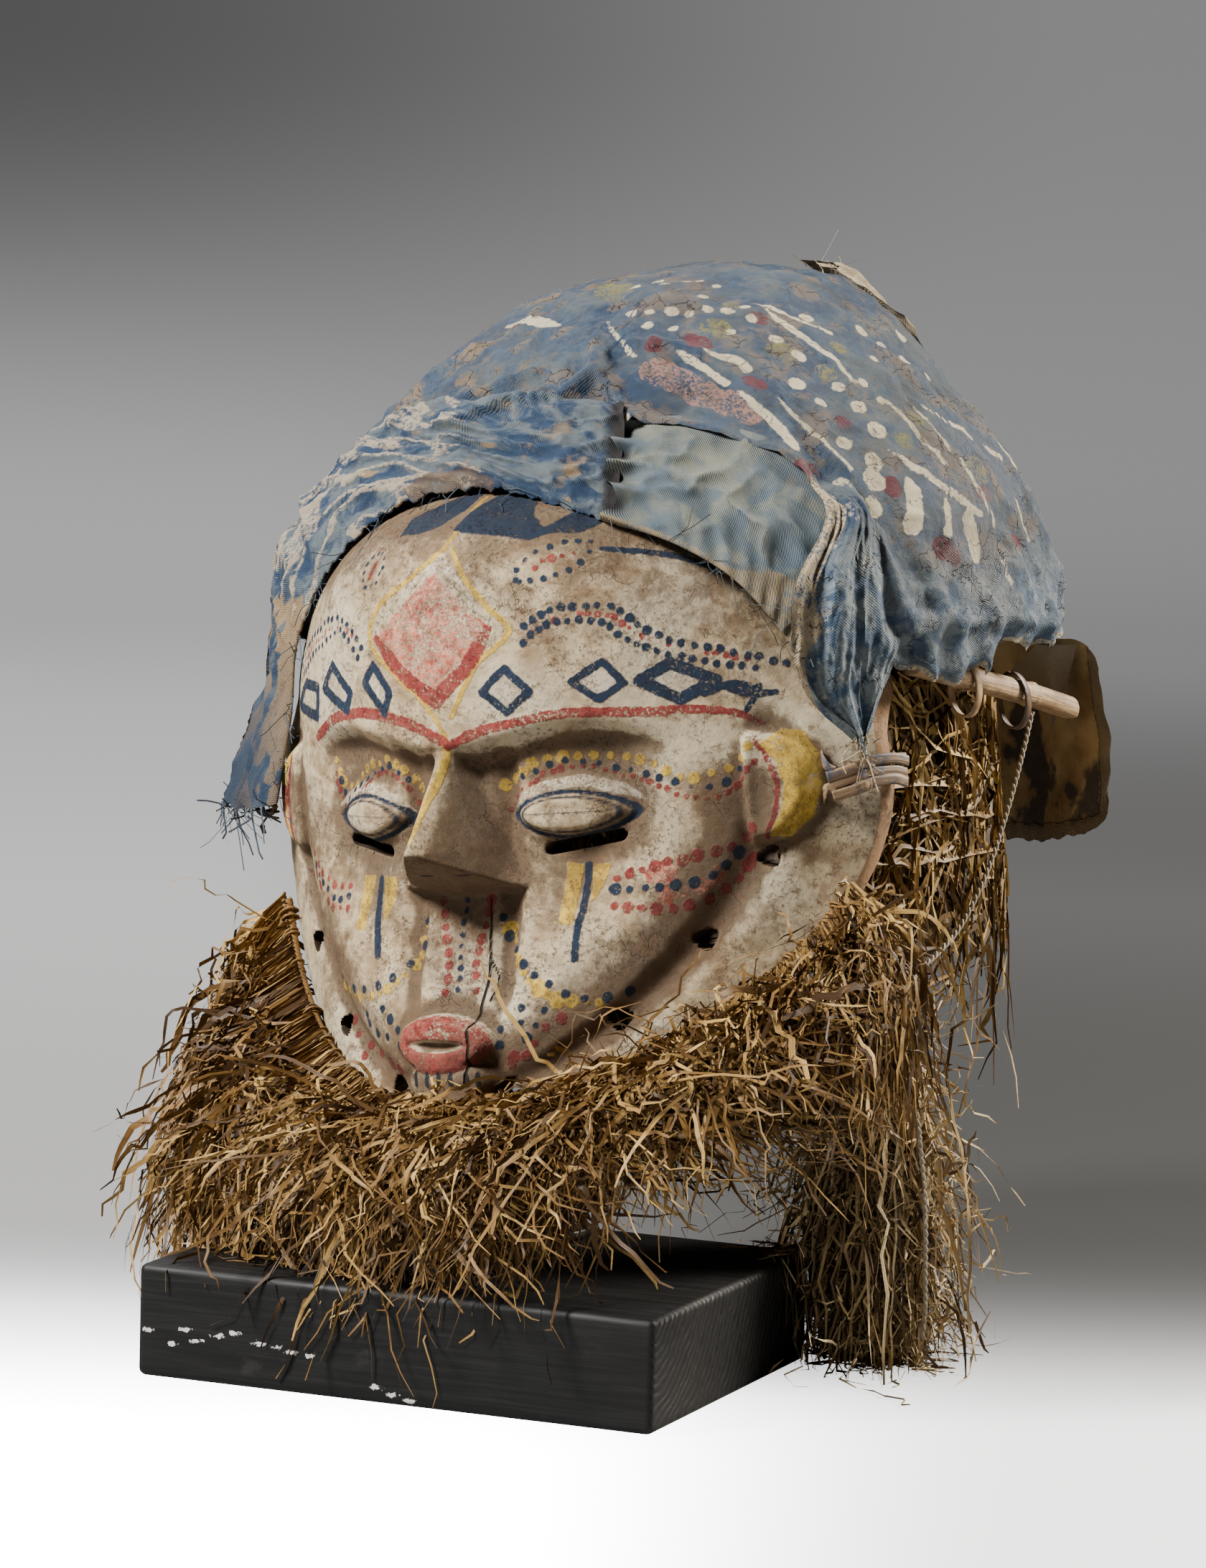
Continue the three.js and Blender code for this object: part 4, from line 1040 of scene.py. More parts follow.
CAP_SHAPE = (160, 360)
u, v, cap_quads = grid(CAP_SHAPE[1], CAP_SHAPE[0])
turn = (u * 360 - 180) * math.pi / 180
degrees = np.degrees(turn)
hem = 40 + 73 * smooth((95 - np.abs(degrees)) / 70)
HEM_AT = [20, 27, 35, 43, 50, 55, 59, 64, 70, 76, 84, 90, 94, 106, 124]
HEM_Z = [118, 122, 120, 115, 110, 100, 82, 66, 38, 34, 33, 34, 42, 41, 43]
hem = np.where((degrees > 20) & (degrees < 124), np.interp(degrees, HEM_AT, HEM_Z), hem)
hem += (2.0 * np.sin(degrees * 0.55 + 2 * np.sin(degrees * 0.13)) + 1.3 * np.sin(degrees * 1.3)) * smooth(
    (np.abs(degrees) - 64) / 16
)
hem_run = np.interp(hem, crown_z, crown_run)
run = mix(hem_run, crown_run[-1], v)
cap_base = on_crown(turn, run, 0).reshape(-1, 3)
from_hem = (run - hem_run).ravel()
CAP_CREASES = [
    ([(15, 150), (16, 138), (9, 130), (-2, 127), (-12, 118), (-22, 112)], 3.0, 5.2),
    ([(15, 148), (26, 148.5), (40, 144)], 3.0, 2.2),
    ([(16, 146), (20, 136), (25, 126), (27, 119)], 2.6, 3.6),
    ([(27, 124), (35, 121), (43, 116), (50, 111), (55, 101), (59, 82), (64, 68), (66, 52)], 2.6, 1.4),
    ([(2, 140), (-8, 135), (-22, 126), (-34, 112), (-45, 98)], 3.0, 4.0),
    ([(6, 134), (-6, 122), (-20, 116)], 2.2, 3.0), ([(12, 128), (20, 125), (26, 122)], 2.0, 2.4),
    ([(-18, 142), (-32, 130), (-50, 106), (-62, 84), (-72, 60)], 4.0, 2.4),
    ([(-30, 150), (-48, 132), (-66, 104), (-80, 70)], 4.5, 1.8),
    ([(66, 84), (69, 68), (72, 50)], 2.4, 2.6), ([(74, 78), (77, 62), (82, 48)], 2.6, 2.2),
    ([(84, 70), (88, 58), (91, 46)], 2.4, 2.0),
    ([(70, 56), (80, 52), (91, 51), (103, 48), (116, 47)], 2.2, 2.0),
    ([(97, 76), (100, 62), (104, 46)], 3.0, 2.2), ([(110, 96), (114, 72), (118, 48)], 3.4, 2.0),
    ([(58, 118), (62, 104), (66, 92)], 3.0, 1.4), ([(0, 168), (40, 160), (66, 150), (84, 132)], 5.0, 1.2),
    ([(130, 120), (138, 84), (142, 48)], 4.0, 2.2), ([(156, 130), (160, 90), (162, 48)], 4.0, 2.0),
    ([(-170, 120), (-172, 80), (-174, 48)], 4.0, 2.2), ([(-150, 130), (-146, 90), (-144, 48)], 4.2, 2.2),
    ([(-124, 110), (-120, 78), (-118, 48)], 3.6, 2.2), ([(-100, 96), (-97, 70), (-95, 46)], 3.4, 2.2),
]
creases = [(crown_points(marks, 0.0, 60), width, height) for marks, width, height in CAP_CREASES]


def crumples(base, size, seed, sharp=2.0):
    """Creased relief from 0 to 1 at points: sharp crests with smooth hollows between them."""
    return (1 - np.minimum(np.abs(ripple(base, size, seed, 2)) * 1.4, 1)) ** sharp


def cap_rise(base):
    """How far the crown cloth stands off the coiffure at points of it."""
    low_down = smooth((112 - base[:, 2]) / 60)
    rise = 2.0 + crease(base, creases) + 1.0 * ripple(base, 40, 21, 2)
    rise += (1.5 + 2.2 * low_down) * crumples(base * [1, 1, 0.7], 34, 22) + (
        0.7 + 0.4 * low_down
    ) * crumples(base, 16, 24, 1.5)
    return np.clip(rise, 1.6, 8.5)


lift = cap_rise(cap_base) + 0.3 * crumples(cap_base, 7, 23)
ruffle = np.exp(-from_hem / 9) * (np.abs(degrees.ravel()) > 50)
lift += ruffle * (
    2.6 * np.sin(degrees.ravel() * 0.42 + 2 * np.sin(degrees.ravel() * 0.11)) + 1.8
    * np.sin(degrees.ravel() * 0.93 + 1)
)
lift = np.maximum(lift, 1.6) - 2.0 * np.exp(-((from_hem / 1.5) ** 2)) * (np.abs(degrees.ravel()) > 66)
cap_points = on_crown(turn, run, lift.reshape(turn.shape)).reshape(-1, 3)
top = cap_base[:, 2] > crown_z[-1] - 0.6
cap_points[top] = cap_points[top].mean(axis=0)

cap_paint = {key: np.full(len(cap_points), FAR) for key in ("cream", "maroon", "olive", "rose", "scraped")}


def cap_dots(colour, marks, radius, jitter=0.25):
    dab(cap_paint[colour], crown_points(marks, 0.0), radius, cap_base, jitter)


def cap_stroke(colour, marks, half, ends=(0.35, 1.1)):
    stroke(cap_paint[colour], crown_points(marks, 0.0, 26), half, cap_base, ends)


def cap_row(marks, count, radius):
    marks = spline(marks, count, even=True) + random.normal(0, 0.35, (count, 2))
    cap_dots("cream", marks, radius)


cap_row([(13, 167), (19, 169), (27, 168), (35, 168), (44, 167)], 6, 2.0)
cap_row([(20, 158), (29, 159), (40, 157), (48, 157)], 6, 2.2)
cap_dots("cream", [(33, 153), (26, 154), (48, 151), (54, 154), (53, 158), (40, 163), (60, 158)], 2.0)
cap_dots("cream", [(59, 147), (68, 105), (61, 97), (67, 99), (66, 90), (65, 81), (72, 115)], 3.4)
cap_dots(
    "cream",
    [
        (71, 154), (63, 141), (60, 132), (63, 125), (69, 130), (71, 123), (76, 131), (78, 125), (64, 112),
        (60, 89)
    ],
    2.5
)
cap_dots("cream", [(86, 148), (105, 146), (90, 143), (96, 138), (84, 139), (101, 132)], 2.2)
for marks, half in (
    ([(59, 157), (66, 147), (72, 139)], 1.5), ([(47, 131), (51, 123), (54, 111)], 1.9),
    ([(54, 129), (58, 116), (63, 102)], 0.9), ([(35, 145), (40, 140), (45, 134)], 1.6),
    ([(41, 144), (47, 142), (50, 138)], 1.7), ([(79, 126), (81, 116), (84, 103)], 1.4),
    ([(72, 108), (79, 98), (89, 86)], 1.7), ([(86, 126), (87, 118), (88, 108)], 1.0),
    ([(89, 106), (91, 95), (93, 81)], 1.4), ([(74, 99), (74, 91), (73, 83)], 3.0),
    ([(86, 86), (86, 80), (87, 73)], 3.4), ([(81, 91), (80, 80)], 1.8),
    ([(13, 157), (20, 150), (25, 144)], 0.9), ([(55, 160), (65, 155), (75, 148)], 1.0),
    ([(101, 108), (107, 103)], 1.3), ([(89, 123), (97, 110)], 1.2), ([(72, 139), (73, 131)], 1.1),
    ([(92, 72), (95, 62)], 1.2), ([(104, 90), (107, 76)], 1.6), ([(112, 110), (116, 92)], 1.5),
    ([(118, 84), (121, 66)], 1.8),
):
    cap_stroke("cream", marks, half)
cap_stroke("cream", [(-29, 158), (-18, 159), (-2, 156)], 2.6, (0.4, 0.6))
for degree in range(128, 236, 12):
    for height in (148, 124, 98, 72):
        start = (degree + random.uniform(-4, 4), height + random.uniform(-6, 6))
        if random.random() < 0.5:
            cap_stroke(
                "cream", [start, (start[0] + 3, start[1] - 9), (start[0] + 5, start[1] - 18)],
                random.uniform(1.0, 2.2)
            )
        else:
            cap_dots("cream", [start, (start[0] + 5, start[1] + 4)], 2.4)
cap_dots(
    "maroon",
    [
        (29, 147), (38, 149), (40, 147), (50, 134), (52, 132), (56, 154), (79, 75), (81, 72), (55, 103),
        (99, 75), (66, 119), (92, 92), (70, 96)
    ],
    3.8, 0.4
)
cap_dots(
    "olive",
    [
        (49, 159), (59, 143), (75, 143), (5, 167), (10, 165), (77, 111), (-10, 167), (84, 118), (68, 135),
        (93, 100), (44, 152)
    ],
    5.0, 0.5
)
cap_dots("rose", [(31, 139), (35, 136), (40, 131), (45, 127), (48, 124), (38, 134)], 6.0, 0.3)
for marks, half in (
    ([(-22, 117), (-13, 124), (-4, 128)], 3.2), ([(-3, 129), (3, 131), (8, 129)], 2.6),
    ([(18, 124), (25, 122)], 3.0), ([(-30, 108), (-20, 114)], 2.0)
):
    cap_stroke("scraped", marks, half, (0.3, 0.6))
hem_edge = 1.6 - from_hem + 1.2 * ripple(cap_base, 12, 25, 2)
cap_paint["scraped"] = np.maximum(
    cap_paint["scraped"], np.where(np.abs(degrees.ravel()) > 64, hem_edge, FAR)
)
cap_cloth_uv = xyz((turn * 118).ravel(), run.ravel(), 0)

s = Shader("painted_cloth")
place = s.mark("place", "Vector")
threads = s.use(weave, Cloth=s.mark("cloth", "Vector"), Threads=1.15)
faded = s.ramp(s.noise(place, 30.0, 6, 0.68, 0.5), 0.42, 0.58)
colour = s.mix(faded, (0.015, 0.031, 0.06), (0.068, 0.082, 0.092))
colour = s.over(colour, (0.034, 0.056, 0.09), s.ramp(s.noise(place, 7.0, 6, 0.75), 0.5, 0.6))
bare = s.ramp(s.noise(place, 16.0, 6, 0.7), 0.5, 0.6)
colour = s.over(colour, (0.15, 0.108, 0.068), s.times(bare, s.mark("worn")))
FLAKED_BLUE, FLAKED_PALE = (0.05, 0.085, 0.135), (0.17, 0.2, 0.215)
hem_tone = s.mix(s.ramp(s.noise(place, 11.0, 5, 0.65, 0.8), 0.42, 0.58), FLAKED_BLUE, FLAKED_PALE)
colour = s.over(colour, hem_tone, s.mark("by_hem"))
for key, wear, coat in (
    ("olive", 0.46, (0.15, 0.135, 0.045)), ("rose", 0.45, (0.26, 0.14, 0.105)),
    ("maroon", 0.38, (0.085, 0.02, 0.026)), ("cream", 0.36, (0.46, 0.4, 0.27)),
    ("scraped", 0.42, (0.4, 0.33, 0.22))
):
    colour = s.over(colour, coat, s.use(brush, Distance=s.mark(key), Place=place, Wear=wear, Rough=1.6))
soiled = s.use(soil, Place=place, Amount=0.4)
colour = s.over(colour, (0.05, 0.042, 0.034), soiled, 0.55)
# Painted shade in the hollows between the folds
colour = s.over(colour, (0.013, 0.016, 0.022), s.mark("low_fold"))
flakes = s.ramp(s.cracks(place, 7.0), 0.0, 0.03, 1.0, 0.0)
flakes = s.times(flakes, s.ramp(s.noise(place, 16.0, 2), 0.5, 0.6))
colour = s.over(colour, (0.02, 0.022, 0.028), flakes, 0.6)
height = s.plus(s.times(threads, 0.2), s.times(s.noise(place, 3.0, 6, 0.7), 1.1))
height = s.minus(height, flakes)
painted_cloth = s.finish(colour, s.ramp(faded, 0, 1, 0.6, 0.85), s.bump(height, 0.8), 0.25)

# Painted shade where the cloth lies low between its folds
low_fold = smooth((3.2 - lift) / 1.6) * 0.45
by_hem = 0.75 * smooth((84 - cap_points[:, 2]) / 30) * smooth((np.abs(degrees.ravel()) - 52) / 8)
worn = 0.55 + 0.4 * smooth((40 - np.abs(degrees.ravel() + 25)) / 30)
cap = piece("crown_cloth", cap_points, cap_quads.tolist(), painted_cloth, "blue_cloth", "cap_cloth",
            marks={**cap_paint, "cloth": cap_cloth_uv, "low_fold": low_fold, "worn": worn, "by_hem": by_hem})


# Brow cloth: an old blue cloth folded along the hairline, scraped to cream and stained brown, with
# long flat folds. Its left end hangs as a thick twisted tail with torn threads.
CLOTH_CENTRE = np.array([0.0, 53.0, 40.0])


def between(low_edge, high_edge, u, v):
    """Points between two curved edges by shares along and across them."""
    ends = []
    for edge in (low_edge, high_edge):
        line = spline(edge, 400)
        ends.append(np.stack([np.interp(u, np.linspace(0, 1, 400), line[:, k]) for k in range(3)], axis=-1))
    return mix(ends[0], ends[1], v[..., None])


def crown_marks(points):
    """Angle and distance up the coiffure of points near it, and how far off it they are."""
    wide, deep, middle = (
        np.interp(points[..., 2], crown_z, a) for a in (crown_wide, crown_deep, crown_middle)
    )
    turn = np.arctan2(points[..., 0] / wide, (middle - points[..., 1]) / deep)
    run = np.interp(points[..., 2], crown_z, crown_run)
    return turn, run, np.linalg.norm(points - on_crown(turn, run, 0), axis=-1)


def away(points):
    """Directions out of the coiffure's middle."""
    out = points - CLOTH_CENTRE
    return unit(out)


def ridged(a, b, seed, octaves=2):
    """Sharp-topped folds, 0 to 1, from two running distances divided by the folds' length and width."""
    return 1 - np.minimum(np.abs(ripple(xyz(a, b, 0), 1.0, seed, octaves)), 1)


def ribbons(lines, half, facing, roll=0.0):
    """Flat strips along many (strip, step, xyz) lines, as wide as told and turned to face a way."""
    along = unit(np.gradient(lines, axis=1))
    side = unit(np.cross(along, np.broadcast_to(facing, lines.shape)))
    roll = np.broadcast_to(roll, lines.shape[:2])[..., None]
    edge = (side * np.cos(roll) + np.cross(side, along) * np.sin(roll)) * np.broadcast_to(
        half, lines.shape[:2]
    )[..., None]
    points = np.stack([lines - edge, lines + edge], axis=2).reshape(-1, 3)
    count, steps = lines.shape[:2]
    start = (np.arange(count)[:, None] * steps + np.arange(steps - 1)) * 2
    return points, (start[..., None] + np.array([0, 1, 3, 2])).reshape(-1, 4).tolist()


def wander(count, steps, kink, chance, settle=0.9):
    """Offsets of many lines that keep straight, then turn at kinks, as (line, step, xyz)."""
    heading = random.normal(0, kink * 0.4, (count, 3))
    offsets = [np.zeros((count, 3))]
    for _ in range(steps - 1):
        turned = random.random((count, 1)) < chance
        heading = heading * settle + np.where(turned, random.normal(0, kink, (count, 3)), 0)
        offsets.append(offsets[-1] + heading)
    return np.stack(offsets, axis=1)


def torn_threads(starts, toward, low, high, half=0.22, steps=9):
    """Loose threads from torn cloth: where they start, which way they set off, and how long."""
    count = len(starts)
    lengths = random.uniform(low, high, (count, 1, 1))
    share = np.linspace(0, 1, steps)[None, :, None]
    lines = starts[:, None] + toward[:, None] * lengths * share + wander(count, steps, 0.9, 0.4) * share
    lines[..., 2] -= (lengths * share**2 * 0.45)[..., 0]
    return ribbons(lines, half, (0.4, -1.0, 0.2), random.uniform(0, 3, (count, 1)))


def cloth_piece(name, points, quads, material, slot, node, marks, threads=None):
    """A sheet with its loose threads as one piece. The threads take the marks of the sheet's first point."""
    parts = [(points, quads.tolist())] + ([threads] if threads else [])
    extra = len(threads[0]) if threads else 0
    marks = {
        key: np.concatenate([value, np.repeat(value[:1], extra, axis=0)]) for key, value in marks.items()
    }
    return piece(name, *merged(parts), material, slot, node, marks)


BROW_SHAPE = (74, 380)
u, v, quads = grid(BROW_SHAPE[1], BROW_SHAPE[0])
BROW_LOW = [
    (-105, -36, 0), (-98.5, -33.5, 30), (-90, -38, 57), (-70, -44.5, 80), (-41, -48, 99), (0, -51, 106),
    (30, -51, 99), (53, -49, 91)
]
BROW_HIGH = [
    (-127, -20, 3), (-121, -9, 40), (-111, -12, 70),
    *crown_points([(-45, 97), (-27, 115), (-10, 118), (12, 117), (25, 114)], 4.4)
]
TUCK, OVER = 0.08, 0.74
low_edge = between(BROW_LOW, BROW_HIGH, u, np.zeros(u.shape))
high_edge = between(BROW_LOW, BROW_HIGH, u, np.ones(u.shape))
turn, run, off = crown_marks(high_edge)
upper = 12 * smooth((u - 0.3) / 0.22) + 2
share = (v - TUCK) / (OVER - TUCK)
climb = np.maximum(share - 1, 0) / (1 / (OVER - TUCK) * (1 - OVER)) * upper
crown_base = on_crown(turn, run + climb, 0)
off = np.maximum(off, cap_rise(crown_base.reshape(-1, 3)).reshape(turn.shape) + 1.2)
on_cloth = smooth((high_edge[..., 2] - 62) / 22)[..., None]
target = mix(
    high_edge + away(high_edge) * climb[..., None] * 0.2, on_crown(turn, run + climb, off), on_cloth
)
ragged = 1.6 * ripple(xyz(u * 42, 0, 0), 1.0, 41, 3)
base = mix(low_edge, target, np.clip(np.abs(share), 0, 1)[..., None])
long_mm, wide_mm = u * 330, np.abs(share) * 26
folds = ridged(long_mm / 70, wide_mm / 8 + 0.7 * np.sin(long_mm / 34), 42) ** 2
small = ridged(long_mm / 24, wide_mm / 4.5, 43) ** 1.5
thick = mix(8.5, 1.6, smooth(u / 0.2))
belly = np.sqrt(np.clip(share * 4, 0, 1)) * np.clip(share, 0, 1) ** 0.1
lift = np.where(
    share > 0,
    thick * belly * smooth(1.6 - share * 0.8) + (3.6 * folds + 1.3 * small) * np.clip(share * 3, 0, 1) * (
        1 - 0.8 * smooth((u - 0.96) / 0.04)
    ),
    -0.5
)
lift *= 1 - 0.75 * smooth((share - 1.15) / 0.3)
points = base + away(base) * lift[..., None]
points[..., 2] += ragged * np.exp(-((share / 0.2) ** 2)) * (u > 0.25)
points = points.reshape(-1, 3)
start = np.flatnonzero((u.ravel() < 0.004) & (share.ravel() > 0))
left_tail = points[random.choice(start, 46)] + random.normal(0, 0.6, (46, 3))
low_row = np.flatnonzero((np.abs(share.ravel()) < 0.03) & (u.ravel() < 0.9))
loose = points[random.choice(low_row, 70)]
threads = merged([
    torn_threads(left_tail, np.tile([-0.1, -0.1, -1.0], (46, 1)), 2, 7, 0.32),
    torn_threads(loose, random.normal(0, 0.5, (70, 3)) + [0.3, -0.4, -0.3], 2, 9, 0.16),
])
brow_marks = {
    "cloth": xyz(long_mm.ravel(), wide_mm.ravel() * 1.2, 0),
    # Painted shade between the folds and at the gathered right end
    "low_fold": np.maximum(
        smooth((0.3 - folds * 0.6 - small * 0.4) / 0.3) * 0.75, smooth((u - 0.955) / 0.03)
    ).ravel(),
    "tan": (
        4 * ripple(xyz(long_mm / 40, wide_mm / 7, 0), 1.0, 44, 2) + 2.6 * smooth((0.4 - u) / 0.1) - 2.6
        + 4 * smooth((0.34 - share) / 0.15) * smooth((0.4 - u) / 0.1) * smooth((u - 0.06) / 0.06) + 3
        * np.exp(-(((u - 0.9) / 0.03) ** 2 + ((share - 0.5) / 0.3) ** 2))
    ).ravel(),
    "scraped": (5.0 * folds - 3.7 - 5 * smooth((0.34 - u) / 0.08) - 4 * smooth((u - 0.7) / 0.12)).ravel(),
    # Painted shade over the left end and its tail
    "dark_end": (0.9 * smooth((0.28 - u) / 0.24) * (0.45 + 0.55 * smooth(share / 0.4))).ravel(),
    "stain": (4 - 9 * np.hypot((u - 0.68) / 0.16, (share - 0.1) / 0.35)).ravel(),
}
BLUE, PALE_BLUE, TAN, CREAM = (0.018, 0.036, 0.07), (0.09, 0.108, 0.118), (0.2, 0.14, 0.08), (
    0.33, 0.27, 0.19
)
s = Shader("brow_cloth_dyed")
place = s.mark("place", "Vector")
threads_height = s.use(weave, Cloth=s.mark("cloth", "Vector"), Threads=1.0)
cloth = s.scaled(s.mark("cloth", "Vector"), (0.3, 1.0, 1.0))
stretched = s.noise(cloth, 8.0, 6, 0.7, 0.8)
colour = s.mix(s.ramp(stretched, 0.42, 0.6), BLUE, PALE_BLUE)
colour = s.over(colour, TAN, s.use(brush, Distance=s.mark("tan"), Place=cloth, Wear=0.34, Rough=2.4))
colour = s.over(colour, TAN, s.ramp(s.noise(place, 13.0, 5, 0.7), 0.58, 0.68), 0.6)
colour = s.over(
    colour, CREAM, s.use(brush, Distance=s.mark("scraped"), Place=cloth, Wear=0.42, Rough=2.4), 0.8
)
colour = s.over(
    colour, (0.085, 0.055, 0.035),
    s.use(brush, Distance=s.mark("stain"), Place=place, Wear=0.4, Rough=2.4), 0.8
)
# Painted shade: the left end, and the hollows between the folds
colour = s.over(colour, (0.014, 0.024, 0.042), s.mark("dark_end"))
colour = s.over(colour, (0.022, 0.02, 0.02), s.mark("low_fold"))
height = s.plus(s.times(threads_height, 0.35), s.times(s.noise(place, 2.4, 5, 0.65), 0.7))
dyed_cloth = s.finish(colour, 0.85, s.bump(height, 0.6), 0.25)
brow = cloth_piece(
    "brow_cloth_folded", points, quads, dyed_cloth, "blue_cloth", "brow_cloth", brow_marks, threads
)


# Temple cloth: washed grey-blue twill gathered into a slit over the right temple, darkened with painted
# shade there and in its folds, smooth where it is drawn back under the crown cloth's edge and tan with a
# fan of fine folds along its lower edge.
u, v, quads = grid(250, 56)
TWILL_LOW = [(50, -48, 92), (73.5, -44, 83), (92, -40, 71), (104, -33, 54), (110, -27, 40)]
TWILL_UNDER = [(23, 121), (33, 124), (43, 120), (52, 112), (59, 92), (64, 74)]
high_edge = crown_points(TWILL_UNDER, 0.6)
v_used = np.clip((v - 0.05) / 0.95, -0.05, 1)
base = between(TWILL_LOW, high_edge, u, np.abs(v_used))
long_mm, wide_mm = u * 92, np.abs(v_used) * 36
gather = np.exp(-((u / 0.07) ** 2))
fan = 0.5 * np.sin(u * 74 + 9 * v_used + 2 * np.sin(u * 9)) * np.exp(-np.abs(v_used) * 4.5) * smooth(
    (u - 0.1) / 0.2
)
folds = ridged(long_mm / 30 + wide_mm / 40, wide_mm / 13 - long_mm / 50, 51)
belly = np.sin(np.pi * np.clip(v_used, 0, 1) ** 0.8)
lift = 1.6 + 2.0 * belly + 0.8 * fan + 3.4 * folds**2 * belly + 0.5 * ridged(
    long_mm / 30, wide_mm / 12, 52
) ** 2 + gather * (3 * np.sin(v * 26) + 1.5) + 0.8 * smooth((v_used - 0.7) / 0.3)
lift = np.where(v_used < 0, 0.0, lift)
points = (base + away(base) * lift[..., None])
points[..., 0] -= 3 * gather * np.sin(v * 15 + 1)
points = points.reshape(-1, 3)
low_row = np.flatnonzero(np.abs(v_used.ravel()) < 0.02)
threads = torn_threads(
    points[random.choice(low_row, 36)], random.normal(0, 0.4, (36, 3)) + [0.4, -0.5, -0.2], 2, 8, 0.15
)
twill_marks = {
    "cloth": xyz(long_mm.ravel(), wide_mm.ravel(), 0),
    # Painted shade in the gathered slit and between the folds
    "low_fold": np.clip(
        gather * 1.1 * (0.6 - 0.5 * np.sin(v * 26)) + 0.25 * (0.35 - folds) + 0.25 * np.clip(-fan, 0, 1),
        0, 1
    ).ravel(),
    "tan": (1.5 - wide_mm + 9 * smooth((u - 0.45) / 0.3)).ravel(),
}
s = Shader("washed_twill")
place, cloth = s.mark("place", "Vector"), s.mark("cloth", "Vector")
twill_wave = {"wave_type": "BANDS", "bands_direction": "DIAGONAL", "wave_profile": "SIN"}
diagonal = s.node(
    "TexWave", "Fac", twill_wave, Vector=cloth, Scale=0.75, Distortion=0.4, **{"Detail Scale": 2.0}
)
colour = s.mix(
    s.ramp(s.noise(place, 15.0, 5, 0.62, 0.8), 0.38, 0.66), (0.066, 0.092, 0.112), (0.145, 0.15, 0.12)
)
colour = s.over(colour, (0.04, 0.075, 0.115), s.ramp(s.noise(place, 9.0, 4), 0.52, 0.72), 0.6)
colour = s.over(
    colour, (0.2, 0.15, 0.085), s.use(brush, Distance=s.mark("tan"), Place=place, Wear=0.42, Rough=1.6)
)
colour = s.over(colour, (0.34, 0.34, 0.29), diagonal, 0.12)
# Painted shade in the slit and the folds
colour = s.over(colour, (0.012, 0.012, 0.014), s.mark("low_fold"))
height = s.plus(s.times(diagonal, 0.4), s.times(s.noise(place, 4.0, 4), 0.6))
washed_twill = s.finish(colour, 0.88, s.bump(height, 0.45), 0.25)
temple = cloth_piece(
    "temple_cloth_drawn", points, quads, washed_twill, "twill", "temple_cloth", twill_marks, threads
)


# Temple drape: the end of the crown cloth that hangs in front of the right ear to a ragged point, pale
# blue paint flaking off in plates, bare and tan along its front edge, in deep upright pleats.
u, v, quads = grid(150, 80)
DRAPE_FRONT = [
    *crown_points([(55, 100), (57, 87)], 4.0), (110, -33, 67), (109, -35, 50), (110, -31, 33),
    (117, -14, 16)
]
DRAPE_REAR = [*crown_points([(63, 101), (67, 88), (70, 70), (71, 52)], 3.0), (122, 0, 34), (118.5, -10, 16)]
base = between(DRAPE_FRONT, DRAPE_REAR, u, v)
drop_mm, wide_mm = u * 100, v * 38
pleats = np.sin(v * 15 + 1.4 * np.sin(u * 3) + 0.6) * smooth(u / 0.4)
pleats2 = ridged(drop_mm / 40, wide_mm / 10, 61) ** 1.5
lift = 2.4 + 3.0 * np.sin(np.pi * v) * smooth(u / 0.3) + 1.0 * pleats + 2.0 * pleats2 * smooth(u / 0.3)
lift += 0.8 * ridged(drop_mm / 12, wide_mm / 7, 62)
turn, run, _ = crown_marks(base)
cap_lift = cap_rise(on_crown(turn, run, 0).reshape(-1, 3)).reshape(turn.shape)
joined = np.maximum(smooth((v - 0.6) / 0.36) * smooth((base[..., 2] - 44) / 12), smooth((0.17 - u) / 0.17))
points = mix(base + away(base) * lift[..., None], on_crown(turn, run, cap_lift - 0.7), joined[..., None])
points[..., 2] += (2.4 * np.sin(v * 9) + 1.6 * np.sin(v * 23)) * smooth((u - 0.8) / 0.2)
points = points.reshape(-1, 3)
ends = np.flatnonzero(u.ravel() > 0.995)
threads = torn_threads(points[random.choice(ends, 34)], np.tile([0.0, -0.1, -1.0], (34, 1)), 2, 8, 0.2)
drape_marks = {
    "cloth": xyz(wide_mm.ravel(), drop_mm.ravel(), 0), "top": smooth((points[:, 2] - 62) / 30),
    # Painted shade in the troughs of the pleats
    "low_fold": (np.clip(0.15 - 0.55 * pleats - 0.35 * (pleats2 - 0.5), 0, 1) * 0.9).ravel(),
    "tan": (
        10 - wide_mm + 2.4 * np.sin(drop_mm / 9) - 9 * smooth((u - 0.55) / 0.15) - 6
        * smooth((0.2 - u) / 0.1)
    ).ravel(),
}
s = Shader("flaking_cloth")
place = s.mark("place", "Vector")
threads_height = s.use(weave, Cloth=s.mark("cloth", "Vector"), Threads=1.0)
colour = s.mix(s.ramp(s.noise(place, 11.0, 5, 0.65, 0.8), 0.42, 0.58), FLAKED_BLUE, FLAKED_PALE)
painted = s.mix(
    s.ramp(s.noise(place, 30.0, 6, 0.68, 0.5), 0.42, 0.58), (0.015, 0.031, 0.06), (0.068, 0.082, 0.092)
)
colour = s.over(colour, painted, s.mark("top"))
colour = s.over(
    colour, (0.36, 0.28, 0.17), s.use(brush, Distance=s.mark("tan"), Place=place, Wear=0.42, Rough=1.6)
)
plates = s.cracks(s.scaled(place, (1.0, 1.0, 0.6)), 8.0)
lost = s.ramp(s.noise(place, 6.0, 4, 0.7), 0.6, 0.68)
colour = s.over(colour, (0.4, 0.36, 0.29), lost, 0.7)
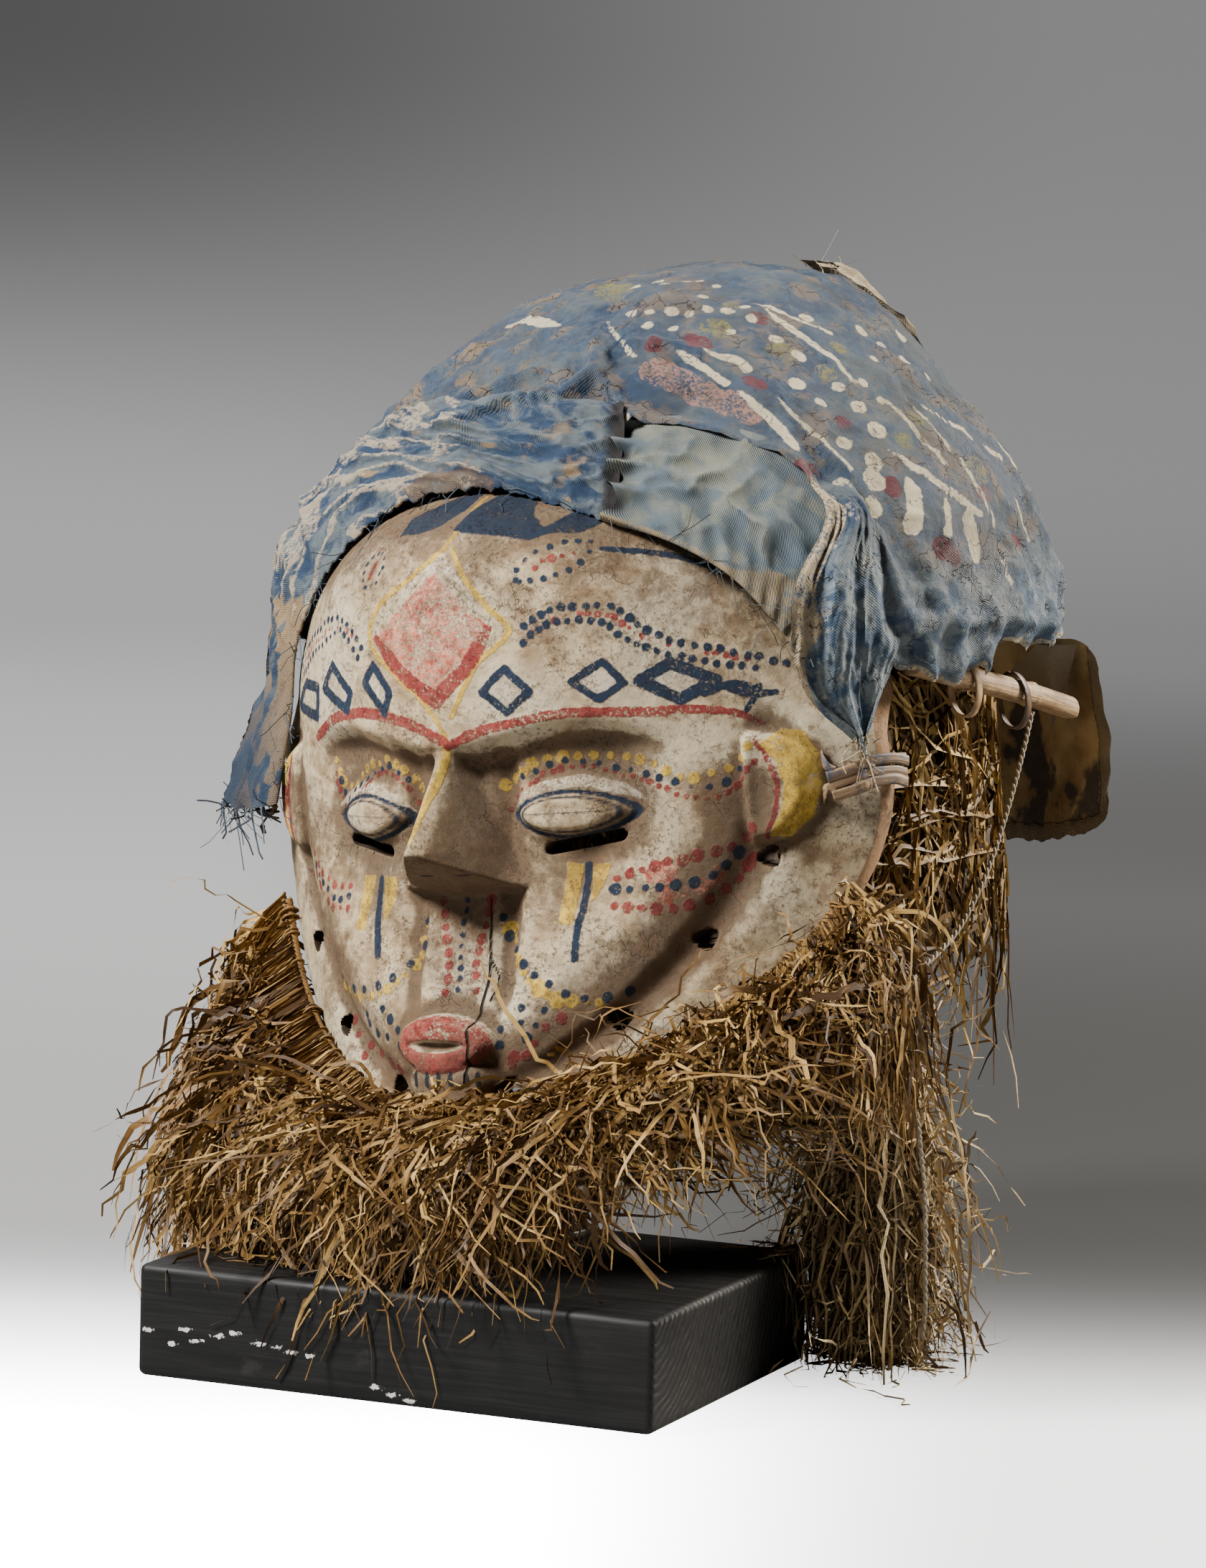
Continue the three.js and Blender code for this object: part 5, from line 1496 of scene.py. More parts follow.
flaked = s.times(s.ramp(plates, 0.0, 0.03, 0.8, 0.0), s.ramp(s.noise(place, 11.0, 2), 0.5, 0.58))
colour = s.over(colour, (0.04, 0.05, 0.06), flaked)
# Painted shade in the troughs of the pleats
colour = s.over(colour, (0.02, 0.03, 0.045), s.mark("low_fold"), 0.4)
height = s.plus(s.times(threads_height, 0.2), s.times(s.noise(place, 2.4, 5, 0.65), 0.8))
height = s.minus(height, flaked)
flaking_cloth = s.finish(colour, 0.72, s.bump(height, 0.7), 0.25)
drape = cloth_piece(
    "temple_drape_end", points, quads, flaking_cloth, "blue_cloth", "temple_drape", drape_marks, threads
)


# Neck cloth: a strip of brown plain cloth with indigo blotches that hangs round the back under the
# crown cloth, hemmed all round with a run of hand stitches. The photograph shows its inner side.
NECK_OUT, NECK_FROM, NECK_TO, NECK_TOP, NECK_LOW = 17, 140, 238, 37, -35
NECK_CORNER_LONG, NECK_CORNER_HIGH, NECK_FLARE, FLARE_LONG = 17, 12, 8, 36
NECK_WIDE, NECK_DEEP, NECK_MIDDLE = 131, 144, 53


def round_neck(turn, out, height):
    """Points round the head, at a distance outside the lower edge of the coiffure."""
    points = xyz((NECK_WIDE + out) * np.sin(turn), NECK_MIDDLE - (NECK_DEEP + out) * np.cos(turn), height)
    return points.reshape(-1, 3)


u, v, quads = grid(240, 56)
turn = np.radians(mix(NECK_FROM, NECK_TO, u))
arc_mm = u * (NECK_TO - NECK_FROM) * math.pi / 180 * 155
corner = 1 - np.clip(np.minimum(arc_mm, arc_mm.max() - arc_mm) / NECK_CORNER_LONG, 0, 1)
frayed = ripple(xyz(arc_mm / 7, 0, 0), 1.0, 72, 3)
turn += np.radians((0.9 * np.sin(v * 8 + 1) + 0.4 * np.sin(v * 21)) * (1 - u) ** 8)
drop = NECK_CORNER_HIGH * (1 - np.sqrt(1 - corner**2))
height = mix(NECK_LOW + drop, NECK_TOP - drop * 0.9, v) + (
    1.8 * np.sin(arc_mm / 13 + 1) + 1.1 * frayed
) * (1 - v) ** 4
edge_mm = np.minimum(np.minimum(arc_mm, arc_mm.max() - arc_mm), v * 75)
hem_step = 1.0 * smooth((5.4 - edge_mm) / 0.6)
sway = 2.6 * np.sin(arc_mm / 19 + 0.8 * np.sin(v * 3)) * (1 - 0.5 * v) + 1.4 * np.sin(
    arc_mm / 8.3 + 2 + 2 * v
)
sway += 0.9 * ridged(arc_mm / 24, v * 75 / 30, 71)
out = NECK_OUT + 1.2 + 0.55 * sway - hem_step * 0.5 + NECK_FLARE * np.clip(
    1 - arc_mm / FLARE_LONG, 0, 1
) ** 2
neck = round_neck(turn, out, height)
stitches = []
for line_u, line_v in (
    (np.full(26, 5.0 / arc_mm.max()), np.linspace(0.14, 0.9, 26)),
    (np.linspace(0.04, 0.96, 96), np.full(96, 5.2 / 75)),
    (np.full(26, 1 - 5.0 / arc_mm.max()), np.linspace(0.14, 0.9, 26)),
):
    column, row = np.rint(line_u * 239).astype(int), np.rint(line_v * 55).astype(int)
    at = neck[row * 240 + column]
    along = unit(np.gradient(at, axis=0))
    inward = unit(-(at - [0, NECK_MIDDLE, 0]) * [1, 1, 0])
    for point, way, inner in zip(at, along, inward):
        for facing in (1.0, -1.0):
            bow = np.array([[-0.9, 0.1], [-0.5, 0.45], [0.0, 0.55], [0.5, 0.45], [0.9, 0.1]])
            stitches.append(tube(point + bow[:, :1] * way + facing * bow[:, 1:] * inner, 0.16, 0.16, 5))
sheet_faces = quads.tolist()
# The top corner is turned over inwards in a small loose flap
flap_u, flap_v, flap_quads = grid(40, 30)
flap_turn = np.radians(mix(143, 153, flap_u) + 2 * flap_v)
flap_out = NECK_OUT - 1 - 7 * flap_v - 2.5 * np.sin(
    flap_u * 6 + 2 * flap_v
) * flap_v + NECK_FLARE * (1 - flap_u) * 0.5
flap_z = NECK_TOP - 2 - flap_v * mix(30, 9, flap_u) - 2 * np.sin(flap_u * 9) * flap_v
flap = round_neck(flap_turn, flap_out, flap_z)
points, faces = merged([(neck, sheet_faces), (flap, flap_quads.tolist()), *stitches])
extra = len(points) - len(neck)
neck_marks = {
    "cloth": np.vstack([xyz(arc_mm.ravel(), height.ravel(), 0), np.zeros((extra, 3))]),
    "edge": np.concatenate([edge_mm.ravel(), np.full(extra, 3.0)]),
}
s = Shader("brown_plain_cloth")
place, cloth = s.mark("place", "Vector"), s.mark("cloth", "Vector")
threads_height = s.use(weave, Cloth=cloth, Threads=0.8)
colour = s.mix(s.ramp(s.noise(place, 30.0, 4), 0.4, 0.62), (0.24, 0.155, 0.07), (0.5, 0.37, 0.19))
blotches = s.ramp(s.noise(s.scaled(cloth, (1.0, 0.7, 1.0)), 30.0, 4, 0.6, 0.5), 0.49, 0.56)
colour = s.over(colour, (0.03, 0.035, 0.05), blotches, 0.85)
hem_edge = s.ramp(s.mark("edge"), 4.4, 5.6, 1.0, 0.0)
colour = s.over(colour, (0.22, 0.185, 0.13), hem_edge, 0.85)
colour = s.over(
    colour, (0.05, 0.035, 0.02),
    s.ramp(s.math("ABSOLUTE", s.minus(s.mark("edge"), 5.7)), 0.0, 0.7, 0.6, 0.0)
)
height_map = s.plus(s.times(threads_height, 0.5), s.times(s.noise(place, 3.0, 4), 0.5))
brown_cloth = s.finish(colour, 0.88, s.bump(height_map, 0.45), 0.25)
hanging = piece("neck_cloth_hemmed", points, faces, brown_cloth, "tan_cloth", "neck_cloth", neck_marks)


# Crown patch: a small torn scrap of thin tan cloth that stands up behind the crown, with a ragged
# upper edge and loose threads.
u, v, quads = grid(110, 56)
turn = np.radians(mix(128, 172, u))
torn = 3.4 * ripple(xyz(u * 9, 0, 0), 1.0, 81, 4)
height = mix(136, 164, v) + 4 * np.sin(u * np.pi) + torn * v**3
run = np.interp(height, crown_z, crown_run)
crown_base = on_crown(turn, run, 0).reshape(-1, 3)
lift = cap_rise(crown_base).reshape(u.shape) + 1.4 + 5 * v * np.sin(u * np.pi) + 1.2 * np.sin(
    u * 21 + 3 * v
) * (0.3 + v)
points = on_crown(turn, run, lift).reshape(-1, 3)
upper_row = np.flatnonzero(v.ravel() > 0.995)
threads = torn_threads(
    points[random.choice(upper_row, 30)], random.normal(0, 0.3, (30, 3)) + [0.5, 0.5, -0.3], 1, 4, 0.15, 6
)
patch_marks = {
    "cloth": xyz(u.ravel() * 46, v.ravel() * 32, 0),
    "edge": np.full(u.size, 20.0),
}
s = Shader("thin_tan_cloth")
place = s.mark("place", "Vector")
threads_height = s.use(weave, Cloth=s.mark("cloth", "Vector"), Threads=1.1)
colour = s.mix(s.ramp(s.noise(place, 9.0, 4, 0.65), 0.4, 0.64), (0.2, 0.15, 0.09), (0.36, 0.3, 0.2))
colour = s.over(colour, (0.12, 0.13, 0.14), s.ramp(s.noise(place, 20.0, 2), 0.56, 0.7), 0.6)
thin_cloth = s.finish(colour, 0.9, s.bump(s.plus(threads_height, s.noise(place, 3.0, 4)), 0.3))
patch = cloth_piece(
    "crown_patch_torn", points, quads, thin_cloth, "tan_cloth", "crown_patch", patch_marks, threads
)


# Cane hoop: a round cane bent inside the coiffure's hem, bound at intervals with flat bast.
HOOP_RADIUS = 3.0
hoop_turn = np.radians(np.linspace(71, 289, 150))
hoop = xyz(125 * np.sin(hoop_turn), 53 - 138 * np.cos(hoop_turn), 48.0)
swell = 1 + 0.05 * ripple(hoop, 30, 91, 2)
parts = [tube(hoop, HOOP_RADIUS * swell, HOOP_RADIUS * swell, 14)]
for k in range(9, 145, 15):
    coil = np.linspace(0, 4 * math.tau, 64)
    along, side, out = (vector[k] for vector in frames(hoop))
    line = hoop[k] + along * (coil[:, None] / 6.28 - 2) * 1.7 + (
        np.cos(coil)[:, None] * side + np.sin(coil)[:, None] * out
    ) * 3.4
    parts.append(tube(line, 0.75, 0.3, 6))
s = Shader("old_cane")
place = s.mark("place", "Vector")
own = s.mark("own", "Vector")
fibres = s.noise(s.scaled(own, (0.035, 2.2, 2.2)), 1.0, 4, 0.6)
colour = s.mix(s.ramp(fibres, 0.35, 0.65), (0.2, 0.115, 0.05), (0.46, 0.31, 0.165))
colour = s.over(colour, (0.13, 0.075, 0.035), s.ramp(s.noise(place, 12.0, 4), 0.5, 0.66), 0.65)
old_cane = s.finish(colour, s.ramp(fibres, 0.3, 0.7, 0.42, 0.62), s.bump(fibres, 0.3))


def own_run(points, line):
    """Fibre coordinates: the distance along a line and the offsets from it."""
    step = np.concatenate([[0], np.cumsum(np.linalg.norm(np.diff(line, axis=0), axis=1))])
    near = np.argmin(np.linalg.norm(points[:, None] - line[None], axis=2), axis=1)
    return xyz(step[near], (points - line[near])[:, 0], (points - line[near])[:, 2])


points, faces = merged(parts)
piece("cane_hoop_bound", points, faces, old_cane, "cane", "cane_hoop", marks={"own": own_run(points, hoop)})


# Split cane: a cut length of split cane over the raffia, flat below and round above, with a square
# cut end, two nodes and long drying checks.
CANE_ROUTE = [(119.5, 24, 38), (116.5, 66, 30), (112, 108, 22.5), (105, 152, 14)]
cane = spline(CANE_ROUTE, 160, even=True)
cane_along, cane_side, cane_out = frames(cane)
knuckle = sum(0.5 * np.exp(-(((np.linspace(0, 1, 160) - at) / 0.012) ** 2)) for at in (0.28, 0.71))
profile = []
for angle in np.linspace(0, math.tau, 22, endpoint=False):
    high = math.sin(angle)
    profile.append((3.8 * math.cos(angle), 4.6 * high if high > -0.65 else -3.0 - 0.9 * (abs(high) - 0.65)))
rings = np.stack(
    [
        cane + cane_side * (x + knuckle * np.sign(x))[:, None] + cane_out * (
            z * (1 + 0.2 * knuckle)
        )[:, None] for x,
        z in profile
    ],
    axis=1
)
points = np.vstack(
    [rings.reshape(-1, 3), cane[:1] + cane_along[:1] * 0.3, cane[-1:] - cane_along[-1:] * 0.4]
)
piece(
    "split_cane_length", points, rod_faces(len(profile), len(cane)), old_cane, "cane", "split_cane",
    marks={"own": own_run(points, cane)}
)


# Cane straps: two flat strips bent once round the split cane and tucked in below, the front one darker.
def strap_material(name, dark, light):
    s = Shader(name)
    fibres = s.noise(s.scaled(s.mark("own", "Vector"), (0.05, 1.6, 1.6)), 1.0, 4, 0.6)
    return s.finish(s.mix(s.ramp(fibres, 0.35, 0.65), dark, light), 0.5, s.bump(fibres, 0.3))


pale_strap = strap_material("pale_strap", (0.16, 0.09, 0.04), (0.4, 0.27, 0.14))
dark_strap = strap_material("dark_strap", (0.03, 0.016, 0.009), (0.12, 0.068, 0.035))
for number, share, strap_cane in ((1, 0.3, pale_strap), (2, 0.6, dark_strap)):
    k = int(share * 159)
    at, along, side = cane[k], cane_along[k], cane_side[k]
    bend = np.linspace(0.15, math.tau + 0.35, 70)
    drop = -1.5 - 3.4 * (1 - np.cos(bend)) * 0.5 - 0.5 * (bend > 6.2)
    loop = at + side * (5.1 * np.sin(bend))[:, None] + np.array([0, 0, 1]) * (
        7.6 * np.cos(bend) + drop
    )[:, None]
    loop += along * (0.6 * np.sin(bend * 0.5))[:, None]
    inward = unit(loop - (at + [0, 0, -3]))
    corners = [
        loop + along * a + inward * b for a,
        b in ((-2.3, 0.1), (-1.9, 0.75), (1.9, 0.75), (2.3, 0.1), (1.9, -0.1), (-1.9, -0.1))
    ]
    points = np.stack(corners, axis=1).reshape(-1, 3)
    faces = rod_sides(6, len(loop)) + [list(range(5, -1, -1)), [len(points) - 6 + c for c in range(6)]]
    piece(f"cane_strap_bent_{number}", points, faces, strap_cane, "cane", f"cane_strap_{number}",
          marks={"own": own_run(points, loop)})


# Rim lashing: flat cane drawn through the flange's holes and four times round the rim behind the right
# ear, smeared with the blue paint of the cloth above it.
lash_x = np.linspace(113.5, 123, 9)
lash_path = [(x, face_y(min(x, 121.5), 6) - 5.2, mix(2, 5.5, k / 8)) for k, x in enumerate(lash_x)]
lash = spline([*lash_path, (127.0, -1, 5.5), (127.3, 5.5, 4)], 90, even=True)
_, lash_side, lash_out = frames(lash)
parts = []
for shift, lift, wide, skew in (
    (-4.4, 0.5, 1.9, 0.5), (-1.0, 1.1, 2.0, -0.4), (2.6, 0.7, 1.9, 0.6), (0.4, 1.9, 1.5, 4.0)
):
    across_shift = shift + skew * np.linspace(-1, 1, 90)
    line = lash + lash_out * across_shift[:, None] - lash_side * (lift - 0.8) + lash_out * 0.25 * np.sin(
        np.linspace(0, 9, 90) + shift
    )[:, None]
    parts.append(tube(line, 0.5, wide, 10))
for height, start in ((-3.2, 3), (3.6, 8)):
    tail = lash[start] + lash_out[start] * height
    route = [
        tail, tail + [-1.8, -1.6, 1.6], tail + [-3.4, -1.2, 4.2 if height > 0 else -1.4],
        tail + [-4.6, 0.2, 6.0 if height > 0 else -3.0]
    ]
    parts.append(tube(spline(route, 24), 0.35, 1.5, 6))
s = Shader("painted_cane")
place, own = s.mark("place", "Vector"), s.mark("own", "Vector")
fibres = s.noise(s.scaled(own, (0.04, 1.0, 1.0)), 1.0, 4, 0.6)
colour = s.mix(s.ramp(fibres, 0.3, 0.7), (0.085, 0.05, 0.026), (0.3, 0.19, 0.1))
colour = s.over(colour, (0.03, 0.048, 0.08), s.ramp(s.noise(place, 8.0, 4, 0.7), 0.5, 0.6), 0.8)
painted_cane = s.finish(colour, 0.6, s.bump(fibres, 0.35))
points, faces = merged(parts)
piece(
    "rim_lashing_bands", points, faces, painted_cane, "cane", "rim_lashing",
    marks={"own": own_run(points, lash)}
)


# Side knot: a small knot of split cane at the left rim that holds the coiffure's edge there.
knot_middle = spline([(-128, -14, 4), (-126, -13, -1), (-127, -11, -7)], 30)
coil = np.linspace(0, 5 * math.tau, 150)
core = np.stack(
    [np.interp(coil, [0, coil[-1]], [knot_middle[0, k], knot_middle[-1, k]]) for k in range(3)], axis=1
)
line = core + xyz(2.7 * np.cos(coil), 2.7 * np.sin(coil), 0.8 * np.sin(coil * 0.5))
cross = core[75] + xyz(3.6 * np.cos(coil[:60]), 2.0 * np.sin(coil[:60] * 0.5), 4.2 * np.sin(coil[:60]))
ends = spline([(-127, -13, -6), (-128.5, -14.5, -9), (-127.5, -15, -12)], 20)
points, faces = merged([tube(line, 1.1, 0.5, 6), tube(cross, 0.9, 0.5, 6), tube(ends, 1.0, 0.4, 6)])
piece(
    "side_knot_tied", points, faces, painted_cane, "cane", "side_knot",
    marks={"own": own_run(points, line)}
)


# Raffia collar: a twisted header tied along the rim, and thousands of flat kinked leaf strips that
# spring out from under it and end at all lengths, pale and shining outside and dark inside, where the
# dark is painted shade.
BLOCK_SIZE = np.array([186.0, 140.0, 38.0])
UNPOSE = np.array(POSE.inverted())


def to_block(points):
    """Mask points in millimetres, from the block's front left lower corner."""
    return (to_row(points) - np.array(CORNER)) / MM


def from_block(points):
    """The reverse of to_block."""
    rows = np.asarray(points, float) * MM + np.array(CORNER)
    return rows @ UNPOSE[:3, :3].T + UNPOSE[:3, 3]


def off_block(lines, gap=1.0):
    """Strips pushed out of the block and the floor: over the top, or out over its front edge."""
    p = to_block(lines)
    x, y, z = p[..., 0], p[..., 1], p[..., 2]
    within = (x > -gap) & (x < BLOCK_SIZE[0] + gap) & (y > -gap) & (y < BLOCK_SIZE[1] + gap) & (
        z < BLOCK_SIZE[2] + gap
    )
    in_front = within & (y < np.minimum(12, BLOCK_SIZE[2] - z + 4))
    p[..., 1] = np.where(in_front, -gap - 0.3 * np.abs(np.sin(x * 3)), y)
    above = within & ~in_front
    p[..., 2] = np.maximum(np.where(above, BLOCK_SIZE[2] + gap + 0.8 * np.abs(np.sin(x * 7 + y)), z), 0.8)
    for axis, sign, start, room in ((0, -1, 24, 16), (1, -1, 7, 16), (0, 1, 232, 16)):
        past = np.maximum(sign * p[..., axis] - start, 0)
        p[..., axis] -= sign * (past - room * (1 - np.exp(-past / room)))
    return from_block(p)


def crumple(count, steps, stray, kink):
    """Offsets of many strips: a slow stray, and a sharp small bend at every step."""
    grown = np.linspace(0, 1, steps)[None, :, None]
    sharp = random.normal(0, kink, (count, steps, 3)) * random.uniform(0.15, 1.15, (count, 1, 1))
    return (wander(count, steps, stray, 0.3, 0.85) + sharp) * np.minimum(grown * 4, 1)


COLLAR_FROM, COLLAR_TO = math.radians(-67), math.radians(68)
collar_turn = np.linspace(COLLAR_FROM, COLLAR_TO, 400)
collar_z = -(101.5 - 2) * np.cos(collar_turn) ** (2 / 1.95)
collar_x = rim_half(collar_z) * np.sign(collar_turn)
collar_y = section_y(collar_x)
collar_out = unit(xyz(0.9 * collar_x, collar_y - 25, 0))
collar_rim = xyz(collar_x, collar_y, collar_z)
collar_low = -161 + 52 * smooth((collar_x - 8) / 84) + 22 * smooth((-collar_x - 92) / 22)
collar_share = np.linspace(0, 1, 400)
collar_bulge = mix(51, 34, smooth(1.15 * collar_share)) * (1 - 0.4 * smooth(1 - 5 * collar_share))
collar_run = np.concatenate([[0], np.cumsum(np.linalg.norm(np.diff(collar_rim, axis=0), axis=1))])


def collar_at(run, values):
    """Values of the collar at distances along its rim."""
    values = np.asarray(values)
    if values.ndim == 1:
        return np.interp(run, collar_run, values)
    return np.stack([np.interp(run, collar_run, values[:, k]) for k in range(values.shape[1])], axis=-1)


def collar_strips(count, steps, depths, reach_share, lean, loose):
    """Strips of the collar, by how deep in it they lie, how far down they reach and how they stray."""
    start = np.sort(random.uniform(0, collar_run[-1], count))[:, None]
    share = np.linspace(0, 1, steps)[None]
    lock = (start[:, 0] // 8).astype(int)
    lock_lean, lock_out, lock_tone, lock_long = random.normal(0, 1, (4, 80, 1))[:, lock]
    length = random.uniform(*reach_share, (count, 1)) * (
        1 + 0.05 * random.normal(0, 1, (count, 1)) + 0.05 * lock_long
    )
    down = share * length
    depth = random.uniform(*depths, (count, 1))
    slant = random.normal(0, lean, (count, 1)) + lean * 0.8 * np.cos(
        start / collar_run[-1] * math.pi
    ) * -1 + 0.2 * lock_lean
    run = np.clip(start + slant * 70 * share * length, -4, collar_run[-1] + 4)
    rim, out = collar_at(start[:, 0], collar_rim)[:, None], collar_at(
        np.clip(run, 0, collar_run[-1]), collar_out
    )
    low, bulge = collar_at(run, collar_low), collar_at(run, collar_bulge)
    outer = np.interp(
        down, [0, 0.06, 0.22, 0.5, 0.8, 1, 1.3], [0, 0.32, 0.66, 0.86, 0.97, 1, 1.02]
    ) * (bulge - 4) + 4
    inner = np.maximum(outer - 20 * np.clip(down * 3, 0, 1), 1.5)
    reach = mix(inner, outer, depth) + 3.2 * lock_out * np.clip(down * 3 - 0.3, 0, 1)
    base = collar_at(np.clip(run, 0, collar_run[-1]), collar_rim)
    height = mix(rim[..., 2] + 5.5 - 2 * np.clip(share * 8, 0, 1), low, down)
    lines = xyz(base[..., 0] + out[..., 0] * reach, base[..., 1] + out[..., 1] * reach, height)
    lines += crumple(count, steps, loose, 1.5)
    return lines, out, np.clip(random.random(count) + 0.22 * lock_tone[:, 0], 0, 1)


def strip_marks(count, steps, tone=None, length=90.0):
    """Marks of strips: a tone of each, the distance along it and which edge a point is on."""
    tone = np.repeat(random.random(count) if tone is None else tone, steps * 2)
    run = np.tile(np.repeat(np.linspace(0, length, steps), 2), count)
    return {"tone": tone, "own": xyz(run, np.tile([-1.0, 1.0], count * steps), tone * 97)}


def raffia_material(name, dark, middle, light, rough):
    """Dried leaf strips: a colour of their own each, fine streaks along them and darker spots."""
    s = Shader(name)
    own, tone = s.mark("own", "Vector"), s.mark("tone")
    streaks = s.noise(s.scaled(own, (0.03, 0.9, 1.0)), 0.6, 3, 0.6)
    colour = s.mix(s.ramp(tone, 0.0, 0.5), dark, middle)
    colour = s.over(colour, light, s.ramp(tone, 0.55, 1.0))
    colour = s.over(colour, dark, s.ramp(streaks, 0.42, 0.7), 0.6)
    spots = s.ramp(s.noise(s.scaled(own, (1.0, 0.5, 1.0)), 9.0, 3), 0.56, 0.66)
    colour = s.over(colour, dark, spots, 0.5)
    return s.finish(colour, s.ramp(streaks, 0.3, 0.7, rough, rough + 0.2), s.bump(streaks, 0.15), 0.25)


# The first copy is the raffia's own colour; the second is lighter, as painted light; the third, for the
# tuft, paler and greyer, as painted light; the last darkened, as painted shade
golden = raffia_material(
    "raffia_golden", (0.045, 0.021, 0.006), (0.2, 0.105, 0.028), (0.5, 0.315, 0.1), 0.42
)
sunlit = raffia_material("raffia_sunlit", (0.06, 0.03, 0.009), (0.3, 0.175, 0.05), (0.6, 0.4, 0.13), 0.45)
lightened_raffia = raffia_material("raffia_lightened", (0.11, 0.067, 0.029), (0.5, 0.35, 0.16), (0.8, 0.63, 0.36), 0.42)
shaded = raffia_material(
    "raffia_shaded", (0.012, 0.006, 0.003), (0.05, 0.027, 0.01), (0.16, 0.095, 0.036), 0.5
)


def strip_piece(name, batches, material, node):
    """Batches of (lines, half widths, facing) strips as one piece."""
    parts, marks = [], []
    for lines, half, facing, *tone in batches:
        count, steps = lines.shape[:2]
        roll = random.uniform(-0.7, 0.7, (count, 1)) + np.cumsum(
            random.normal(0, 0.35, (count, steps)), axis=1
        )
        parts.append(ribbons(lines, half, facing, roll))
        marks.append(strip_marks(count, steps, *tone))
    joined = {key: np.concatenate([m[key] for m in marks]) for key in marks[0]}
    return piece(name, *merged(parts), material, "raffia", node, joined)


def widths(count, steps, low, high):
    """Half widths of strips, narrowed at their roots and ends."""
    share = np.linspace(0, 1, steps)[None]
    return random.uniform(low, high, (count, 1)) * np.interp(share, [0, 0.15, 0.8, 1], [0.6, 1, 0.9, 0.35])


for name, count, steps, depths, reach_share, lean, loose, low, high in (
    ("raffia_collar_inner", 3200, 9, (0.0, 0.6), (0.55, 0.84), 0.2, 0.9, 0.4, 1.0),
    ("raffia_collar_middle", 4400, 12, (0.4, 1.0), (0.5, 0.9), 0.34, 1.3, 0.22, 0.65),
    ("raffia_collar_outer", 3700, 14, (0.7, 1.12), (0.3, 0.92), 0.6, 1.7, 0.25, 0.85),
):
    lines, facing, tone = collar_strips(count, steps, depths, reach_share, lean, loose)
    half = widths(count, steps, low, high) * np.where(random.random((count, 1)) < 0.08, 1.8, 1.0)
    # The inner strips take the darkened copy of the raffia, as painted shade
    strip_piece(
        name, [(off_block(lines), half, facing, tone)], shaded if "inner" in name else golden,
        "raffia_beard"
    )

header = collar_rim + collar_out * 3.6 + np.array([0, 0, 2.6])
header = spline(header[::8], 900, even=True)
header_along, header_side, header_up = frames(header)
parts = []
for phase in np.arange(3) / 3 * math.tau:
    turn = np.linspace(0, 46 * math.tau, 900) + phase
    parts.append(
        tube(
            header + (header_side * np.cos(turn)[:, None] + header_up * np.sin(turn)[:, None]) * 1.3, 1.0,
            1.0, 6
        )
    )
for k in np.unique(random.integers(6, 894, 110)):
    bend = np.linspace(-0.6, 3.9, 12)
    size = random.uniform(0.5, 1.2)
    hook = header[k] + header_side[k] * (-2.7 * size * np.cos(bend))[:, None] + header_up[k] * (
        2.6 * size * np.sin(bend)
    )[:, None]
    hook += header_along[k] * (random.uniform(-1.6, 1.6) + 1.2 * np.linspace(-1, 1, 12))[:, None]
    parts.append(tube(hook, 0.9 * random.uniform(0.7, 1.3), 0.45, 5))
points, faces = merged(parts)
own = xyz(points[:, 2] + points[:, 0], points[:, 0] * 2, points[:, 1])
piece("raffia_collar_header", points, faces, golden, "raffia", "raffia_beard",
      marks={"own": own, "tone": random.random(len(points)) * 0.2 + 0.45})


# Raffia curtain: loose strips that hang from the hoop behind the rims and round the back, tangled and
# in shadow, with a few bright ones drawn over the cane at the right.
CURTAIN_WIDE, CURTAIN_DEEP, CURTAIN_MIDDLE, CURTAIN_TOP, CURTAIN_FOOT = 108, 117, 60, 36, -60


def curtain_strips(
    count, steps, depth_range, loose, low=0.3, high=1.0, tilt=0.06, reach=(0.6, 1.05), start=(0.0, 0.05)
):
    """Strips round the curtain, told by depth in it, tilt, reach and where they begin."""
    turn = np.radians(random.uniform(62, 298, (count, 1)))
    share = np.linspace(0, 1, steps)[None]
    down = random.uniform(*start, (count, 1)) + share * random.uniform(*reach, (count, 1))
    lift = -random.uniform(*depth_range, (count, 1)) * 12
    drift = random.normal(0, tilt, (count, 1)) * share + 0.05 * np.sin(
        share * random.uniform(2, 9, (count, 1))
    )
    stray = crumple(count, steps, loose, 1.6)
    lift = np.minimum(lift + stray[..., 0], 1.0)
    along = turn + drift + stray[..., 1] / 112
    x, y = (CURTAIN_WIDE + lift) * np.sin(along), CURTAIN_MIDDLE - (CURTAIN_DEEP + lift) * np.cos(along)
    height = mix(CURTAIN_TOP, CURTAIN_FOOT, down) + stray[..., 2]
    lines = xyz(x, y, np.minimum(height, CURTAIN_TOP + 2))
    return lines, widths(count, steps, low, high), xyz(x, y - CURTAIN_MIDDLE, 0)


# Painted shade: the under layer takes the darkened copy of the raffia; the strips over it take the lighter
# copy, as painted light
strip_piece(
    "raffia_curtain_shaded", [curtain_strips(2000, 10, (0.4, 1.0), 0.9, 0.4, 1.2)], shaded, "raffia_curtain"
)
strip_piece(
    "raffia_curtain_strips",
    [
        curtain_strips(620, 12, (0.0, 0.5), 2.2, 0.3, 0.9, 0.2),
        curtain_strips(640, 12, (0.0, 0.4), 3.2, 0.3, 0.9, 0.4, (0.1, 0.6), (0.0, 0.8)),
        curtain_strips(300, 13, (0.0, 0.2), 3.0, 0.7, 1.5, 0.5, (-0.3, 0.5), (0.1, 0.9)),
    ],
    sunlit, "raffia_curtain"
)


